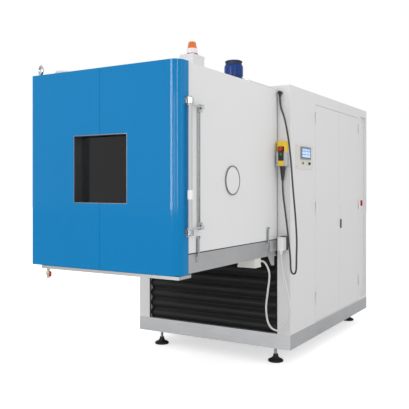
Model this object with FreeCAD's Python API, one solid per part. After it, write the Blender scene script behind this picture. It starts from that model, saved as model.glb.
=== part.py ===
import FreeCAD, Part
import math
import os

V = FreeCAD.Vector
X_AXIS = V(1, 0, 0)
Y_AXIS = V(0, 1, 0)
Z_AXIS = V(0, 0, 1)

# Sizes are in millimetres. X is to the right, Y to the rear, Z up.
# They are measured from the middle of the cabinet's front plane at floor level.

# Machine cabinet
cabinet_width = 1490.0
cabinet_depth = 2070.0
cabinet_top = 2250.0
foot_height = 132.0
beam_height = 120.0
beam_width = 130.0
post_width = 112.0
post_depth = 80.0
panel_thick = 20.0
head_rail_height = 40.0
bulkhead_y = 180.0
bulkhead_thick = 6.0

# Levelling feet
foot_radius = 63.0
foot_pad_height = 62.0
foot_stem_radius = 12.0
foot_nut_size = 19.0
foot_nut_height = 16.0
foot_inset_x = 175.0
foot_inset_y = 105.0

# Test chamber, carried in front of the cabinet
chamber_width = 1216.0
chamber_depth = 1329.0
chamber_shift = 30.0
chamber_gap = 20.0
chamber_base = 895.0
chamber_top = 2213.0
chamber_wall = 100.0
liner_thick = 2.0
floor_height = 122.0
floor_rear_y = -153.0
shaker_hole_radius = 225.0
shaker_hole_y = -835.0
baffle_y = -322.0
baffle_thick = 3.0
baffle_slot = 60.0

# Door
door_thick = 112.0
door_overlap = 10.0
door_seal = 6.0
door_corner_radius = 60.0
door_edge_radius = 10.0
door_open_angle = 110.0
window_size = 450.0
window_height = 1553.0
window_liner = 4.0
glass_recess = 76.0
glass_thick = 8.0
seam_width = 4.0
seam_depth = 1.5
gasket_width = 40.0

# Door hinges
hinge_offset_x = 18.0
hinge_pin_radius = 8.0
hinge_knuckle_radius = 15.0
hinge_knuckle_height = 40.0
hinge_leaf_thick = 6.0
hinge_leaf_length = 70.0
hinge_heights = (1120.0, 1553.0, 1990.0)
running_fit = 0.05

# Lock bar and strike on the right side
bar_radius = 14.0
bar_offset_x = 24.0
bar_offset_y = 18.0
bar_low = 1130.0
bar_high = 1995.0
latch_heights = (1155.0, 1966.0)
latch_bearing_radius = 24.0
latch_bearing_height = 34.0
latch_arm_radius = 5.0
latch_arm_length = 146.0
latch_pawl_radius = 11.0
collar_radius = 19.0
collar_low = 1359.0
collar_high = 1416.0
strike_width = 32.0
strike_depth = 22.5
strike_plate_height = 46.0

# Cable port
port_y = -773.0
port_z = 1481.0
port_radius = 75.0
port_frame_half = 90.0
port_ring_radius = 103.0
port_ring_height = 9.0
port_cap_radius = 94.0
port_cap_height = 7.0
port_clearance = 1.0
port_shank = 28.0

# Toggle clips that hold the floor panel
clip_places = (-1240.0, -205.0)
clip_width = 26.0
clip_base_thick = 5.0
clip_reach = 22.0
clip_pin_height = 98.0
clip_pin_radius = 2.5
clip_knuckle_radius = 5.0

# Drip gutter with its drain valve
gutter_front_y = -1450.0
gutter_rear_y = -1310.0
gutter_top = 888.0
gutter_depth = 20.0
gutter_wall = 3.0
gutter_left_x = -510.0
drain_x = -482.0
drain_y = -1415.0
drain_radius = 10.0
drain_low = 798.0
valve_z = 830.0
valve_stem_radius = 3.0

# Things on the chamber's roof
motor_x = 353.0
motor_y = -221.0
motor_radius = 75.0
motor_height = 232.0
beacon_box_length = 139.0
beacon_box_width = 98.0
beacon_box_height = 62.0
beacon_box_rear_y = -1150.0
beacon_radius = 38.0
vent_x = -459.0
vent_y = -1290.0
vent_radius = 56.0
vent_height = 52.0
eye_x = -557.0
eye_ring_radius = 31.0
eye_bar_radius = 8.0
conduit_radius = 7.0
conduit_front_y = -500.0
conduit_inset = 14.0

# Circulation fan
fan_shaft_radius = 12.0
fan_radius = 90.0
fan_height = 60.0
fan_z = 1960.0
fan_blades = 10

# Lift
lift_stroke = 300.0
carriage_thick = 16.0
carriage_beam_base = 927.0
gusset_drop = 120.0
gusset_thick = 12.0
rail_x = 430.0
rail_width = 44.0
rail_depth = 30.0
guide_clearance = 0.5
guide_block_width = 100.0
guide_block_height = 150.0
guide_block_heights = (1040.0, 1880.0)
cylinder_radius = 40.0
cylinder_bore = 30.0
cylinder_y = 115.0
cylinder_low = 420.0
cylinder_high = 1300.0
lift_rod_radius = 25.0
lift_rod_low = 860.0
lift_rod_top = 1660.0

# Bellows that close the cabinet's front below the chamber
bellows_front_y = 12.0
bellows_fold = 34.0
bellows_skin = 3.0
bellows_top = 880.0
bellows_folds = 10

# Switchgear bay in the cabinet's right side
bay_front_y = 553.0
bay_split_y = 1190.0
bay_rear_y = 1784.0
bay_low = 258.0
bay_high = 2152.0
bay_deep = 380.0
leaf_gap = 3.0
leaf_open_angle = 110.0
leaf_pin_radius = 5.0
leaf_knuckle_radius = 10.0
recess_front_y = 1846.0
recess_low = 286.0
recess_high = 2175.0
recess_deep = 25.0

# Operator panel on the right side
panel_front_y = 110.0
panel_rear_y = 475.0
panel_low = 1583.0
panel_high = 1787.0
panel_plate = 6.0

# Pendant with its holder on the right front post
pendant_x = 694.0
pendant_width = 70.0
pendant_depth = 62.0
pendant_low = 1604.3
pendant_high = 1796.0
holder_low = 1600.0
holder_high = 1711.0
holder_sheet = 2.5
holder_back = 3.0

# Connector for the chamber's cable
connector_x = 700.0
connector_low = 917.0
connector_high = 1044.0
connector_width = 46.0

# Cables. Their routes are chosen points.
pendant_cable_radius = 7.0
pendant_cable_route = (
    (665.0, -22.0, 2160.0), (665.0, -22.0, 2085.0), (711.0, -40.0, 1995.0),
    (760.0, -68.0, 1815.0), (792.0, -92.0, 1620.0), (812.0, -104.0, 1420.0),
    (836.0, -112.0, 1215.0), (851.0, -118.0, 1020.0), (848.0, -121.0, 890.0),
    (848.0, -124.0, 762.0), (775.0, -63.0, 758.0), (774.0, -63.0, 880.0),
    (750.0, -58.0, 1065.0), (722.0, -50.0, 1255.0), (694.0, -34.0, 1400.0),
    (694.0, -34.0, 1486.0))
chamber_cable_radius = 7.5
chamber_cable_route = (
    (700.0, -78.0, 906.0), (700.0, -78.0, 830.0), (740.0, -90.0, 690.0),
    (784.0, -100.0, 540.0), (790.0, -106.0, 405.0), (726.0, -113.0, 300.0),
    (618.0, -122.0, 318.0), (590.0, -134.0, 460.0), (618.0, -148.0, 620.0),
    (638.0, -152.0, 750.0), (622.0, -162.0, 812.0), (602.0, -196.0, 862.0),
    (602.0, -262.0, 862.0))

half_width = cabinet_width / 2
beam_top = foot_height + beam_height
roof_under = cabinet_top - panel_thick
opening_half = half_width - post_width
chamber_left = chamber_shift - chamber_width / 2
chamber_right = chamber_shift + chamber_width / 2
chamber_rear = -chamber_gap
chamber_front = chamber_rear - chamber_depth
floor_top = chamber_base + floor_height
door_left = chamber_left - door_overlap
door_right = chamber_right + door_overlap
door_rear = chamber_front - door_seal
door_front = door_rear - door_thick
door_low = chamber_base - 2.0
door_high = chamber_top + 2.0
hinge_x = door_left - hinge_offset_x
hinge_y = chamber_front - door_seal / 2
bar_x = door_right + bar_offset_x
bar_y = door_rear - bar_offset_y


def block(x, y, z):
    """A box between a pair of limits on each axis."""
    return Part.makeBox(x[1] - x[0], y[1] - y[0], z[1] - z[0], V(x[0], y[0], z[0]))


def rod(radius, start, axis, length):
    """A round bar."""
    return Part.makeCylinder(radius, length, start, axis)


def pipe(outer, inner, start, axis, length):
    """A round bar with a hole along it."""
    return rod(outer, start, axis, length).cut(rod(inner, start, axis, length))


def prism(points, travel):
    """A flat outline carried along a vector."""
    outline = Part.makePolygon([V(*p) for p in points] + [V(*points[0])])
    return Part.Face(outline).extrude(travel)


def spun_polygon(profile, centre):
    """An outline of radius and height pairs, turned about the vertical through centre."""
    points = [V(r, 0, z) for r, z in profile]
    face = Part.Face(Part.makePolygon(points + points[:1]))
    shape = face.revolve(V(0, 0, 0), Z_AXIS, 360)
    shape.translate(centre)
    return shape


def mirrored(shape, x):
    """A copy on the other side of the upright plane at x."""
    return shape.mirror(V(x, 0, 0), X_AXIS)


def upright_edges(shape, x, y):
    """The shape's straight upright edges at one place in plan."""
    found = []
    for edge in shape.Edges:
        ends = [v.Point for v in edge.Vertexes]
        if len(ends) == 2 and all(abs(p.x - x) < 0.01 and abs(p.y - y) < 0.01 for p in ends):
            found.append(edge)
    return found


def group(solids):
    """Separate solids of one sub-part."""
    return Part.makeCompound(solids)


# Cabinet

def base_beams():
    """The four hollow-section beams of the base."""
    z = (foot_height, beam_top)
    inner = half_width - beam_width
    rear = cabinet_depth - beam_width
    front_beam = block((-half_width, half_width), (0, beam_width), z)
    rear_beam = block((-half_width, half_width), (rear, cabinet_depth), z)
    side_beam = block((inner, half_width), (beam_width, rear), z)
    return group([front_beam, rear_beam, side_beam, mirrored(side_beam, 0)])


def front_posts():
    """The two posts beside the front opening."""
    post = block((opening_half, half_width), (0, post_depth), (beam_top, roof_under))
    return group([post, mirrored(post, 0)])


def head_rail():
    return block((-opening_half, opening_half), (0, post_depth), (roof_under - head_rail_height, roof_under))


def guide_seals():
    """Rubber strips down the inner edges of the posts."""
    strip = block((opening_half - 8, opening_half), (2, 10), (beam_top, roof_under - head_rail_height))
    return group([strip, mirrored(strip, 0)])


def left_panel():
    y = (post_depth, cabinet_depth - panel_thick)
    return block((-half_width, panel_thick - half_width), y, (beam_top, roof_under))


def rear_panel():
    y = (cabinet_depth - panel_thick, cabinet_depth)
    return block((-half_width, half_width), y, (beam_top, roof_under))


def roof_panel():
    return block((-half_width, half_width), (0, cabinet_depth), (roof_under, cabinet_top))


def bulkhead():
    """The sheet wall behind the lift."""
    x = (panel_thick - half_width, half_width - panel_thick)
    return block(x, (bulkhead_y, bulkhead_y + bulkhead_thick), (beam_top, roof_under))


def right_front_panel():
    x = (half_width - panel_thick, half_width)
    return block(x, (post_depth, bay_front_y), (beam_top, roof_under))


def bay_lintels():
    """The strips above and below the switchgear bay's leaves."""
    x = (half_width - panel_thick, half_width)
    y = (bay_front_y, bay_rear_y)
    return group([block(x, y, (bay_high, roof_under)), block(x, y, (beam_top, bay_low))])


def right_rear_panel():
    """The rear strip of the right side, with its upright recess."""
    rear = cabinet_depth - panel_thick
    x = (half_width - 2 * panel_thick, half_width)
    skin = block((half_width - panel_thick, half_width), (bay_rear_y, rear), (beam_top, roof_under))
    body = block(x, (recess_front_y - panel_thick, rear), (beam_top, roof_under))
    recess = block((half_width - recess_deep, half_width), (recess_front_y, rear), (recess_low, recess_high))
    return skin.fuse(body).cut(recess).removeSplitter()


def control_bay():
    """The five sheet walls of the switchgear bay."""
    x = (half_width - panel_thick - bay_deep, half_width - panel_thick)
    y = (bay_front_y, bay_rear_y)
    z = (bay_low, bay_high)
    t = 4.0
    back = block((x[0] - t, x[0]), y, z)
    top = block((x[0] - t, x[1]), y, (z[1], z[1] + t))
    bottom = block((x[0] - t, x[1]), y, (z[0] - t, z[0]))
    front = block((x[0] - t, x[1]), (y[0] - t, y[0]), (z[0] - t, z[1] + t))
    rear = block((x[0] - t, x[1]), (y[1], y[1] + t), (z[0] - t, z[1] + t))
    return group([back, top, bottom, front, rear])


mounting_plate_thick = 4.0
mounting_plate_margin = 60.0
rail_levels = (560.0, 860.0, 1160.0, 1460.0, 1760.0)
din_rail_height = 35.0
din_rail_depth = 8.0


def mounting_plate():
    """The bay's plate with its five mounting rails."""
    back = half_width - panel_thick - bay_deep
    y = (bay_front_y + mounting_plate_margin, bay_rear_y - mounting_plate_margin)
    z = (bay_low + mounting_plate_margin, bay_high - mounting_plate_margin)
    shape = block((back, back + mounting_plate_thick), y, z)
    face = back + mounting_plate_thick
    for level in rail_levels:
        bar = block((face, face + din_rail_depth), (y[0] + 40, y[1] - 40), (level, level + din_rail_height))
        shape = shape.fuse(bar)
    return shape.removeSplitter()


device_sizes = ((45.0, 85.0, 90.0), (54.0, 95.0, 110.0), (90.0, 120.0, 130.0), (36.0, 85.0, 70.0))


def switchgear():
    """Contactors, breakers and terminal blocks in rows on the mounting rails."""
    face = half_width - panel_thick - bay_deep + mounting_plate_thick + din_rail_depth
    devices = []
    for row, level in enumerate(rail_levels):
        width, height, depth = device_sizes[row % len(device_sizes)]
        middle = level + din_rail_height / 2
        for number in range(6):
            y = bay_front_y + 140 + number * 165
            body = block((face, face + depth * 0.6), (y, y + width), (middle - height / 2, middle + height / 2))
            nose = block((face, face + depth), (y + 4, y + width - 4), (middle - height / 4, middle + height / 4))
            devices.append(body.fuse(nose).removeSplitter())
    return group(devices)


leaf_sheet = 3.0


def leaf_face(front, rear):
    """The outer sheet of one leaf of the switchgear bay."""
    z = (bay_low + leaf_gap, bay_high - leaf_gap)
    return block((half_width - leaf_sheet, half_width), (front, rear), z)


def leaf_edges(front, rear):
    """The four folded edges behind a leaf's sheet."""
    x = (half_width - panel_thick, half_width - leaf_sheet)
    z = (bay_low + leaf_gap, bay_high - leaf_gap)
    t = leaf_sheet
    uprights = [block(x, (front, front + t), z), block(x, (rear - t, rear), z)]
    between = (front + t, rear - t)
    return uprights + [block(x, between, (z[0], z[0] + t)), block(x, between, (z[1] - t, z[1]))]


def bay_leaf_front():
    limits = (bay_front_y + leaf_gap, bay_split_y - leaf_gap / 2)
    return group([leaf_face(*limits)] + leaf_edges(*limits))


lock_y = 1203.0
handle_low = 1043.0
handle_high = 1127.0
cylinder_lock_z = 1236.0


def bay_leaf_rear():
    """The rear leaf, with a hole for the swing handle's shaft and the barrel of the lock."""
    limits = (bay_split_y + leaf_gap / 2, bay_rear_y - leaf_gap)
    x = half_width - panel_thick
    hole = rod(8.0, V(x, lock_y + 12, handle_high - 12), X_AXIS, panel_thick)
    barrel = rod(10.0, V(x + 2, lock_y + 12, cylinder_lock_z), X_AXIS, panel_thick + 1)
    slot = block((half_width + 1, half_width + 4), (lock_y + 11, lock_y + 13),
                 (cylinder_lock_z - 5, cylinder_lock_z + 5))
    face = leaf_face(*limits).cut(hole).cut(barrel)
    return group([face, barrel.cut(slot)] + leaf_edges(*limits))


def bay_handle():
    """The swing handle: a flat lever on a short shaft."""
    y = lock_y + 12
    shaft = rod(7.9, V(half_width - panel_thick + 2, y, handle_high - 12), X_AXIS, panel_thick + 4)
    lever = block((half_width + 0.5, half_width + 9), (y - 9, y + 9), (handle_low, handle_high))
    lever = lever.makeFillet(3.0, upright_edges(lever, half_width + 9, y - 9))
    return lever.fuse(shaft).removeSplitter()


def leaf_hinge_places():
    """Axis and side of each leaf's hinges: y of the axis, and the way the leaf lies from it."""
    return ((bay_front_y + leaf_gap / 2, 1), (bay_rear_y - leaf_gap / 2, -1))


leaf_hinge_levels = (420.0, 1205.0, 1990.0)
leaf_hinge_height = 50.0


def leaf_hinge_fixed():
    """Frame halves of the leaf hinges, each with its pin."""
    solids = []
    x = half_width + leaf_knuckle_radius + 0.5
    for y, side in leaf_hinge_places():
        for z in leaf_hinge_levels:
            knuckle = rod(leaf_knuckle_radius, V(x, y, z), Z_AXIS, leaf_hinge_height)
            pin = rod(leaf_pin_radius, V(x, y, z), Z_AXIS, 2 * leaf_hinge_height)
            ends = sorted((y, y - side * 34))
            plate = block((half_width, half_width + 3), ends, (z, z + leaf_hinge_height))
            solids.append(knuckle.fuse([pin, plate]).removeSplitter())
    return group(solids)


def leaf_hinge_moving(index):
    """Leaf halves of one leaf's hinges, bored for the pins."""
    y, side = leaf_hinge_places()[index]
    x = half_width + leaf_knuckle_radius + 0.5
    solids = []
    for z in leaf_hinge_levels:
        low = z + leaf_hinge_height + 0.5
        height = leaf_hinge_height - 1
        knuckle = rod(leaf_knuckle_radius, V(x, y, low), Z_AXIS, height)
        ends = sorted((y, y + side * 34))
        plate = block((half_width, half_width + 3), ends, (low, low + height))
        bore = rod(leaf_pin_radius + running_fit, V(x, y, low), Z_AXIS, height)
        solids.append(knuckle.fuse(plate).cut(bore).removeSplitter())
    return group(solids)


def leaf_hinges_front():
    return leaf_hinge_moving(0)


def leaf_hinges_rear():
    return leaf_hinge_moving(1)


def foot_places():
    """Plan positions of the four feet."""
    x = half_width - foot_inset_x
    return [(sx * x, y) for sx in (-1, 1) for y in (foot_inset_y, cabinet_depth - foot_inset_y)]


def foot_pads():
    """Bell-shaped pads that taper up to the stem."""
    neck = foot_stem_radius + 7
    profile = [(0, 0), (foot_radius - 3, 0), (foot_radius, 4), (foot_radius, 12), (foot_radius - 6, 18),
               (neck + 16, 28), (neck + 4, 42), (neck, foot_pad_height), (0, foot_pad_height)]
    return group([spun_polygon(profile, V(x, y, 0)) for x, y in foot_places()])


def foot_stems():
    """Threaded stems with a hexagon nut against the base."""
    solids = []
    for x, y in foot_places():
        stem = rod(foot_stem_radius, V(x, y, foot_pad_height), Z_AXIS, foot_height - foot_pad_height)
        corners = []
        for number in range(6):
            angle = math.radians(60 * number)
            corners.append((x + foot_nut_size * math.cos(angle), y + foot_nut_size * math.sin(angle),
                            foot_height - foot_nut_height))
        nut = prism(corners, V(0, 0, foot_nut_height))
        solids.append(stem.fuse(nut).removeSplitter())
    return group(solids)


# Lift

def rail_outline(x, z, grow):
    """Plan outline of a profiled guide rail at height z, grown by a clearance."""
    face = bulkhead_y - rail_depth
    head = rail_width / 2 + grow
    waist = head - 8
    half = ((head, face - grow), (head, face + 7 + grow), (waist, face + 14 + grow), (waist, bulkhead_y - 9),
            (head, bulkhead_y - 4), (head, bulkhead_y))
    right = [(x + px, py, z) for px, py in half]
    left = [(x - px, py, z) for px, py in reversed(half)]
    return right + left


def guide_rails():
    """Two profiled rails up the bulkhead."""
    low = beam_top + 40
    length = roof_under - head_rail_height - 40 - low
    solids = []
    for side in (-1, 1):
        solids.append(prism(rail_outline(side * rail_x, low, 0), V(0, 0, length)))
    return group(solids)


def guide_blocks():
    """Four blocks that wrap the rails and carry the lift carriage."""
    solids = []
    front = chamber_rear + carriage_thick
    rear = bulkhead_y - 12
    for side in (-1, 1):
        for z in guide_block_heights:
            x = (side * rail_x - guide_block_width / 2, side * rail_x + guide_block_width / 2)
            body = block(x, (front, rear), (z, z + guide_block_height))
            channel = prism(rail_outline(side * rail_x, z, guide_clearance), V(0, 0, guide_block_height))
            solids.append(body.cut(channel))
    return group(solids)


def lift_carriage():
    """Plate behind the chamber with its cross beam, two gussets, foot flange and lug."""
    x = (chamber_left + 20, chamber_right - 20)
    plate = block(x, (chamber_rear, chamber_rear + carriage_thick), (bellows_top, chamber_top - 120))
    beam = block((chamber_left, chamber_right), (floor_rear_y, chamber_rear), (carriage_beam_base, floor_top))
    foot = block(x, (chamber_rear + carriage_thick, bellows_front_y + bellows_fold), (bellows_top, bellows_top + 12))
    solids = [plate, beam, foot, lift_lug()]
    low = carriage_beam_base - gusset_drop
    for edge in (x[0] + 4, x[1] - 16):
        corners = ((edge, floor_rear_y, carriage_beam_base), (edge, chamber_rear, carriage_beam_base),
                   (edge, chamber_rear, low), (edge, chamber_rear - 30, low))
        solids.append(prism(corners, V(gusset_thick, 0, 0)))
    return group(solids)


def lift_barrel():
    """The lift cylinder's barrel on its foot."""
    base = V(0, cylinder_y, cylinder_low)
    barrel = rod(cylinder_radius, base, Z_AXIS, cylinder_high - cylinder_low)
    bore_length = cylinder_high - cylinder_low - 20
    bore = rod(cylinder_bore, V(0, cylinder_y, cylinder_low + 20), Z_AXIS, bore_length)
    return barrel.cut(bore)


def lift_foot():
    """The bracket that stands the cylinder on the front beam."""
    post = block((-60, 60), (cylinder_y - 45, cylinder_y + 45), (beam_top, cylinder_low))
    notch = block((-36, 36), (cylinder_y - 45, cylinder_y + 45), (beam_top + 14, cylinder_low - 18))
    shape = post.cut(notch)
    shelf = block((-90, 90), (0 + 50, bulkhead_y), (beam_top, beam_top + 14))
    return shape.fuse(shelf).removeSplitter()


def lift_gland():
    """The barrel's screwed head, bored for the rod."""
    return pipe(cylinder_radius + 4, lift_rod_radius + running_fit, V(0, cylinder_y, cylinder_high), Z_AXIS, 30)


def lift_rod():
    """The lift rod with its piston."""
    shaft = rod(lift_rod_radius, V(0, cylinder_y, lift_rod_low), Z_AXIS, lift_rod_top - lift_rod_low)
    piston = rod(cylinder_bore - running_fit, V(0, cylinder_y, lift_rod_low), Z_AXIS, 40)
    return shaft.fuse(piston).removeSplitter()


def lift_lug():
    """The arm by which the rod pushes the carriage."""
    y = (chamber_rear + carriage_thick, cylinder_y + 40)
    return block((-45, 45), y, (lift_rod_top, lift_rod_top + 45))


def bellows():
    """A pleated sheet from the front beam up to the carriage."""
    pitch = (bellows_top - beam_top) / bellows_folds
    front = []
    for number in range(2 * bellows_folds + 1):
        inset = 0 if number % 2 else bellows_fold - bellows_skin
        front.append((bellows_front_y + inset, beam_top + number * pitch / 2))
    back = [(y + bellows_skin, z) for y, z in reversed(front)]
    x = 8.5 - opening_half
    return prism([(x, y, z) for y, z in front + back], V(-2 * x, 0, 0))


# Chamber

def chamber_side(sign):
    """One insulated side wall, full height."""
    outer = chamber_right if sign > 0 else chamber_left
    x = sorted((outer, outer - sign * chamber_wall))
    return block(x, (chamber_front, chamber_rear), (floor_top, chamber_top))


def left_wall():
    return chamber_side(-1)


def right_wall():
    """The right side wall: four slabs round a square frame, which has the cable port's hole."""
    x = (chamber_right - chamber_wall, chamber_right)
    y = (port_y - port_frame_half, port_y + port_frame_half)
    z = (port_z - port_frame_half, port_z + port_frame_half)
    front = block(x, (chamber_front, y[0]), (floor_top, chamber_top))
    rear = block(x, (y[1], chamber_rear), (floor_top, chamber_top))
    below = block(x, y, (floor_top, z[0]))
    above = block(x, y, (z[1], chamber_top))
    frame = block(x, y, z).cut(rod(port_radius, V(x[0], port_y, port_z), X_AXIS, chamber_wall))
    return group([front, rear, below, above, frame])


def chamber_roof():
    """The insulated roof, with the fan shaft's hole."""
    x = (chamber_left + chamber_wall, chamber_right - chamber_wall)
    z = (chamber_top - chamber_wall, chamber_top)
    hole = rod(fan_shaft_radius + 4, V(motor_x, motor_y, z[0]), Z_AXIS, chamber_wall)
    return block(x, (chamber_front, chamber_rear), z).cut(hole)


def rear_wall():
    x = (chamber_left + chamber_wall, chamber_right - chamber_wall)
    return block(x, (chamber_rear - chamber_wall, chamber_rear), (floor_top, chamber_top - chamber_wall))


def chamber_liner():
    """The stainless lining of the test space, open at its front and below."""
    x = (chamber_left + chamber_wall, chamber_right - chamber_wall)
    y = (chamber_front + 4, chamber_rear - chamber_wall)
    z = (floor_top, chamber_top - chamber_wall)
    t = liner_thick
    left = block((x[0], x[0] + t), y, z)
    right = block((x[1] - t, x[1]), y, z)
    right = right.cut(rod(port_radius, V(x[1] - t, port_y, port_z), X_AXIS, t))
    top = block((x[0] + t, x[1] - t), y, (z[1] - t, z[1]))
    top = top.cut(rod(fan_shaft_radius + 4, V(motor_x, motor_y, z[1] - t), Z_AXIS, t))
    rear = block((x[0] + t, x[1] - t), (y[1] - t, y[1]), (z[0], z[1] - t))
    return group([left, right, top, rear])


def floor_panel():
    """The removable insulated floor, with the round opening for a shaker's head."""
    body = block((chamber_left, chamber_right), (chamber_front, floor_rear_y), (chamber_base, floor_top))
    hole = rod(shaker_hole_radius, V(chamber_shift, shaker_hole_y, chamber_base), Z_AXIS, floor_height)
    return body.cut(hole)


def air_baffle():
    """The plate in front of the fan, with slots above and below for the air."""
    x = (chamber_left + chamber_wall + liner_thick, chamber_right - chamber_wall - liner_thick)
    z = (floor_top + baffle_slot, chamber_top - chamber_wall - liner_thick - baffle_slot)
    return block(x, (baffle_y, baffle_y + baffle_thick), z)


def door_gasket():
    """The bulb seal round the chamber's mouth, in four strips."""
    y = (door_rear + 0.3, chamber_front)
    inset = 25.0
    x = (chamber_left + inset, chamber_right - inset)
    z = (floor_top + inset, chamber_top - inset)
    w = gasket_width
    left = block((x[0], x[0] + w), y, z)
    right = block((x[1] - w, x[1]), y, z)
    top = block((x[0] + w, x[1] - w), y, (z[1] - w, z[1]))
    bottom = block((x[0] + w, x[1] - w), y, (z[0], z[0] + w))
    return group([left, right, top, bottom])


def door_shell():
    """The insulated door, round at its right edge, with the window's opening and a centre seam."""
    shape = block((door_left, door_right), (door_front, door_rear), (door_low, door_high))
    shape = shape.makeFillet(door_corner_radius, upright_edges(shape, door_right, door_front))
    shape = shape.makeFillet(door_edge_radius, upright_edges(shape, door_left, door_front))
    half = window_size / 2
    x = (chamber_shift - half, chamber_shift + half)
    window = block(x, (door_front, door_rear), (window_height - half, window_height + half))
    seam_x = (chamber_shift - seam_width / 2, chamber_shift + seam_width / 2)
    seam = block(seam_x, (door_front, door_front + seam_depth), (door_low, door_high))
    return shape.cut(window).cut(seam)


def window_frame():
    """The steel lining of the window's opening, with a stop between the two panes."""
    half = window_size / 2
    inner = half - window_liner
    y = (door_front, door_rear)
    outer_box = block((chamber_shift - half, chamber_shift + half), y, (window_height - half, window_height + half))
    inner_box = block((chamber_shift - inner, chamber_shift + inner), y,
                      (window_height - inner, window_height + inner))
    sleeve = outer_box.cut(inner_box)
    lip = inner - 10
    stop_y = (door_front + glass_recess + glass_thick, door_rear - glass_thick)
    ring = block((chamber_shift - inner, chamber_shift + inner), stop_y,
                 (window_height - inner, window_height + inner))
    ring = ring.cut(block((chamber_shift - lip, chamber_shift + lip), stop_y,
                          (window_height - lip, window_height + lip)))
    return sleeve.fuse(ring).removeSplitter()


def pane(front):
    """One glass pane in the window's lining."""
    inner = window_size / 2 - window_liner
    return block((chamber_shift - inner, chamber_shift + inner), (front, front + glass_thick),
                 (window_height - inner, window_height + inner))


def outer_pane():
    return pane(door_front + glass_recess)


def inner_pane():
    return pane(door_rear - glass_thick)


def door_hinge_fixed():
    """Chamber halves of the door hinges, each with its pin."""
    solids = []
    for z in hinge_heights:
        low = z - hinge_knuckle_height
        knuckle = rod(hinge_knuckle_radius, V(hinge_x, hinge_y, low), Z_AXIS, hinge_knuckle_height)
        pin = rod(hinge_pin_radius, V(hinge_x, hinge_y, low), Z_AXIS, 2 * hinge_knuckle_height + 6)
        corner = (chamber_left - hinge_leaf_thick, chamber_front + 8)
        leaf_plate = block((corner[0], chamber_left), (corner[1], corner[1] + hinge_leaf_length),
                           (low, low + hinge_knuckle_height))
        arm = prism(((hinge_x, hinge_y - 5, low), (corner[0] + 5, corner[1] + 2, low),
                     (corner[0] + 5, corner[1] + 22, low), (hinge_x - 4, hinge_y + 12, low)),
                    V(0, 0, hinge_knuckle_height))
        solids.append(knuckle.fuse([pin, leaf_plate, arm]).removeSplitter())
    return group(solids)


def door_hinge_moving():
    """Door halves of the hinges, bored for the pins."""
    solids = []
    for z in hinge_heights:
        low = z + 0.5
        height = hinge_knuckle_height - 0.5
        knuckle = rod(hinge_knuckle_radius, V(hinge_x, hinge_y, low), Z_AXIS, height)
        plate = block((door_left - hinge_leaf_thick, door_left), (door_rear - hinge_leaf_length - 12, door_rear - 12),
                      (low, low + height))
        arm = prism(((hinge_x, hinge_y + 5, low), (door_left - 1, door_rear - 14, low),
                     (door_left - 1, door_rear - 34, low), (hinge_x - 4, hinge_y - 12, low)), V(0, 0, height))
        bore = rod(hinge_pin_radius + running_fit, V(hinge_x, hinge_y, low), Z_AXIS, height)
        solids.append(knuckle.fuse([plate, arm]).cut(bore).removeSplitter())
    return group(solids)


def latch_bearings():
    """Brackets on the door's side that hold the lock bar."""
    solids = []
    for z in latch_heights:
        low = z - latch_bearing_height / 2
        plate = block((door_right, door_right + 3.5), (bar_y - 24, door_rear - 1),
                      (low - 10, low + latch_bearing_height + 10))
        ring = rod(latch_bearing_radius - 1, V(bar_x, bar_y, low), Z_AXIS, latch_bearing_height)
        web = block((door_right, bar_x), (bar_y - 14, bar_y + 14), (low, low + latch_bearing_height))
        bore = rod(bar_radius + running_fit, V(bar_x, bar_y, low), Z_AXIS, latch_bearing_height)
        solids.append(plate.fuse([ring, web]).cut(bore).removeSplitter())
    return group(solids)


def lock_bar():
    """The upright bar with an arm and pawl beside each bracket."""
    shape = rod(bar_radius, V(bar_x, bar_y, bar_low), Z_AXIS, bar_high - bar_low)
    middle = sum(latch_heights) / 2
    for z in latch_heights:
        inward = 1 if z < middle else -1
        level = z + inward * (latch_bearing_height / 2 + latch_arm_radius + 2)
        boss = rod(bar_radius + 6, V(bar_x, bar_y, level - latch_arm_radius - 1), Z_AXIS, 2 * latch_arm_radius + 2)
        arm = rod(latch_arm_radius, V(bar_x, bar_y, level), Y_AXIS, latch_arm_length)
        pawl = rod(latch_pawl_radius, V(bar_x, bar_y + latch_arm_length, level - 14), Z_AXIS, 28)
        shape = shape.fuse([boss, arm, pawl])
    return shape.removeSplitter()


def bar_collar():
    """The white grip on the lock bar."""
    return pipe(collar_radius, bar_radius, V(bar_x, bar_y, collar_low), Z_AXIS, collar_high - collar_low)


def strike_strip():
    """The upright channel on the chamber's side that the pawls lie against."""
    y = bar_y + latch_arm_length
    low, high = latch_heights
    ends = (low + 10, high - 10)
    half = strike_width / 2
    depth = 8.0
    body = block((chamber_right, chamber_right + depth), (y - half, y + half), ends)
    groove = block((chamber_right + 2, chamber_right + depth), (y - half + 5, y + half - 5), ends)
    shape = body.cut(groove)
    for z in (ends[0], ends[1] - strike_plate_height):
        plate = block((chamber_right, chamber_right + strike_depth), (y - half, y + half), (z, z + strike_plate_height))
        shape = shape.fuse(plate)
    return shape.removeSplitter()


def port_ring():
    start = V(chamber_right, port_y, port_z)
    return pipe(port_ring_radius, port_cap_radius + 2, start, X_AXIS, port_ring_height)


def port_plug():
    """The insulating plug with its round cap."""
    cap = rod(port_cap_radius, V(chamber_right + 0.3, port_y, port_z), X_AXIS, port_cap_height)
    start = V(chamber_right + 0.3 - port_shank, port_y, port_z)
    shank = Part.makeCone(port_radius - port_clearance - 3, port_radius - port_clearance, port_shank, start, X_AXIS)
    return cap.fuse(shank).removeSplitter()


def clip_side(sign):
    """The outer face of the chamber on one side, and the way out from it."""
    return chamber_right if sign > 0 else chamber_left


def clip_pin(sign):
    """Across and up places of a clip's pin."""
    return clip_side(sign) + sign * (clip_base_thick + 6), floor_top + clip_pin_height


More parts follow.
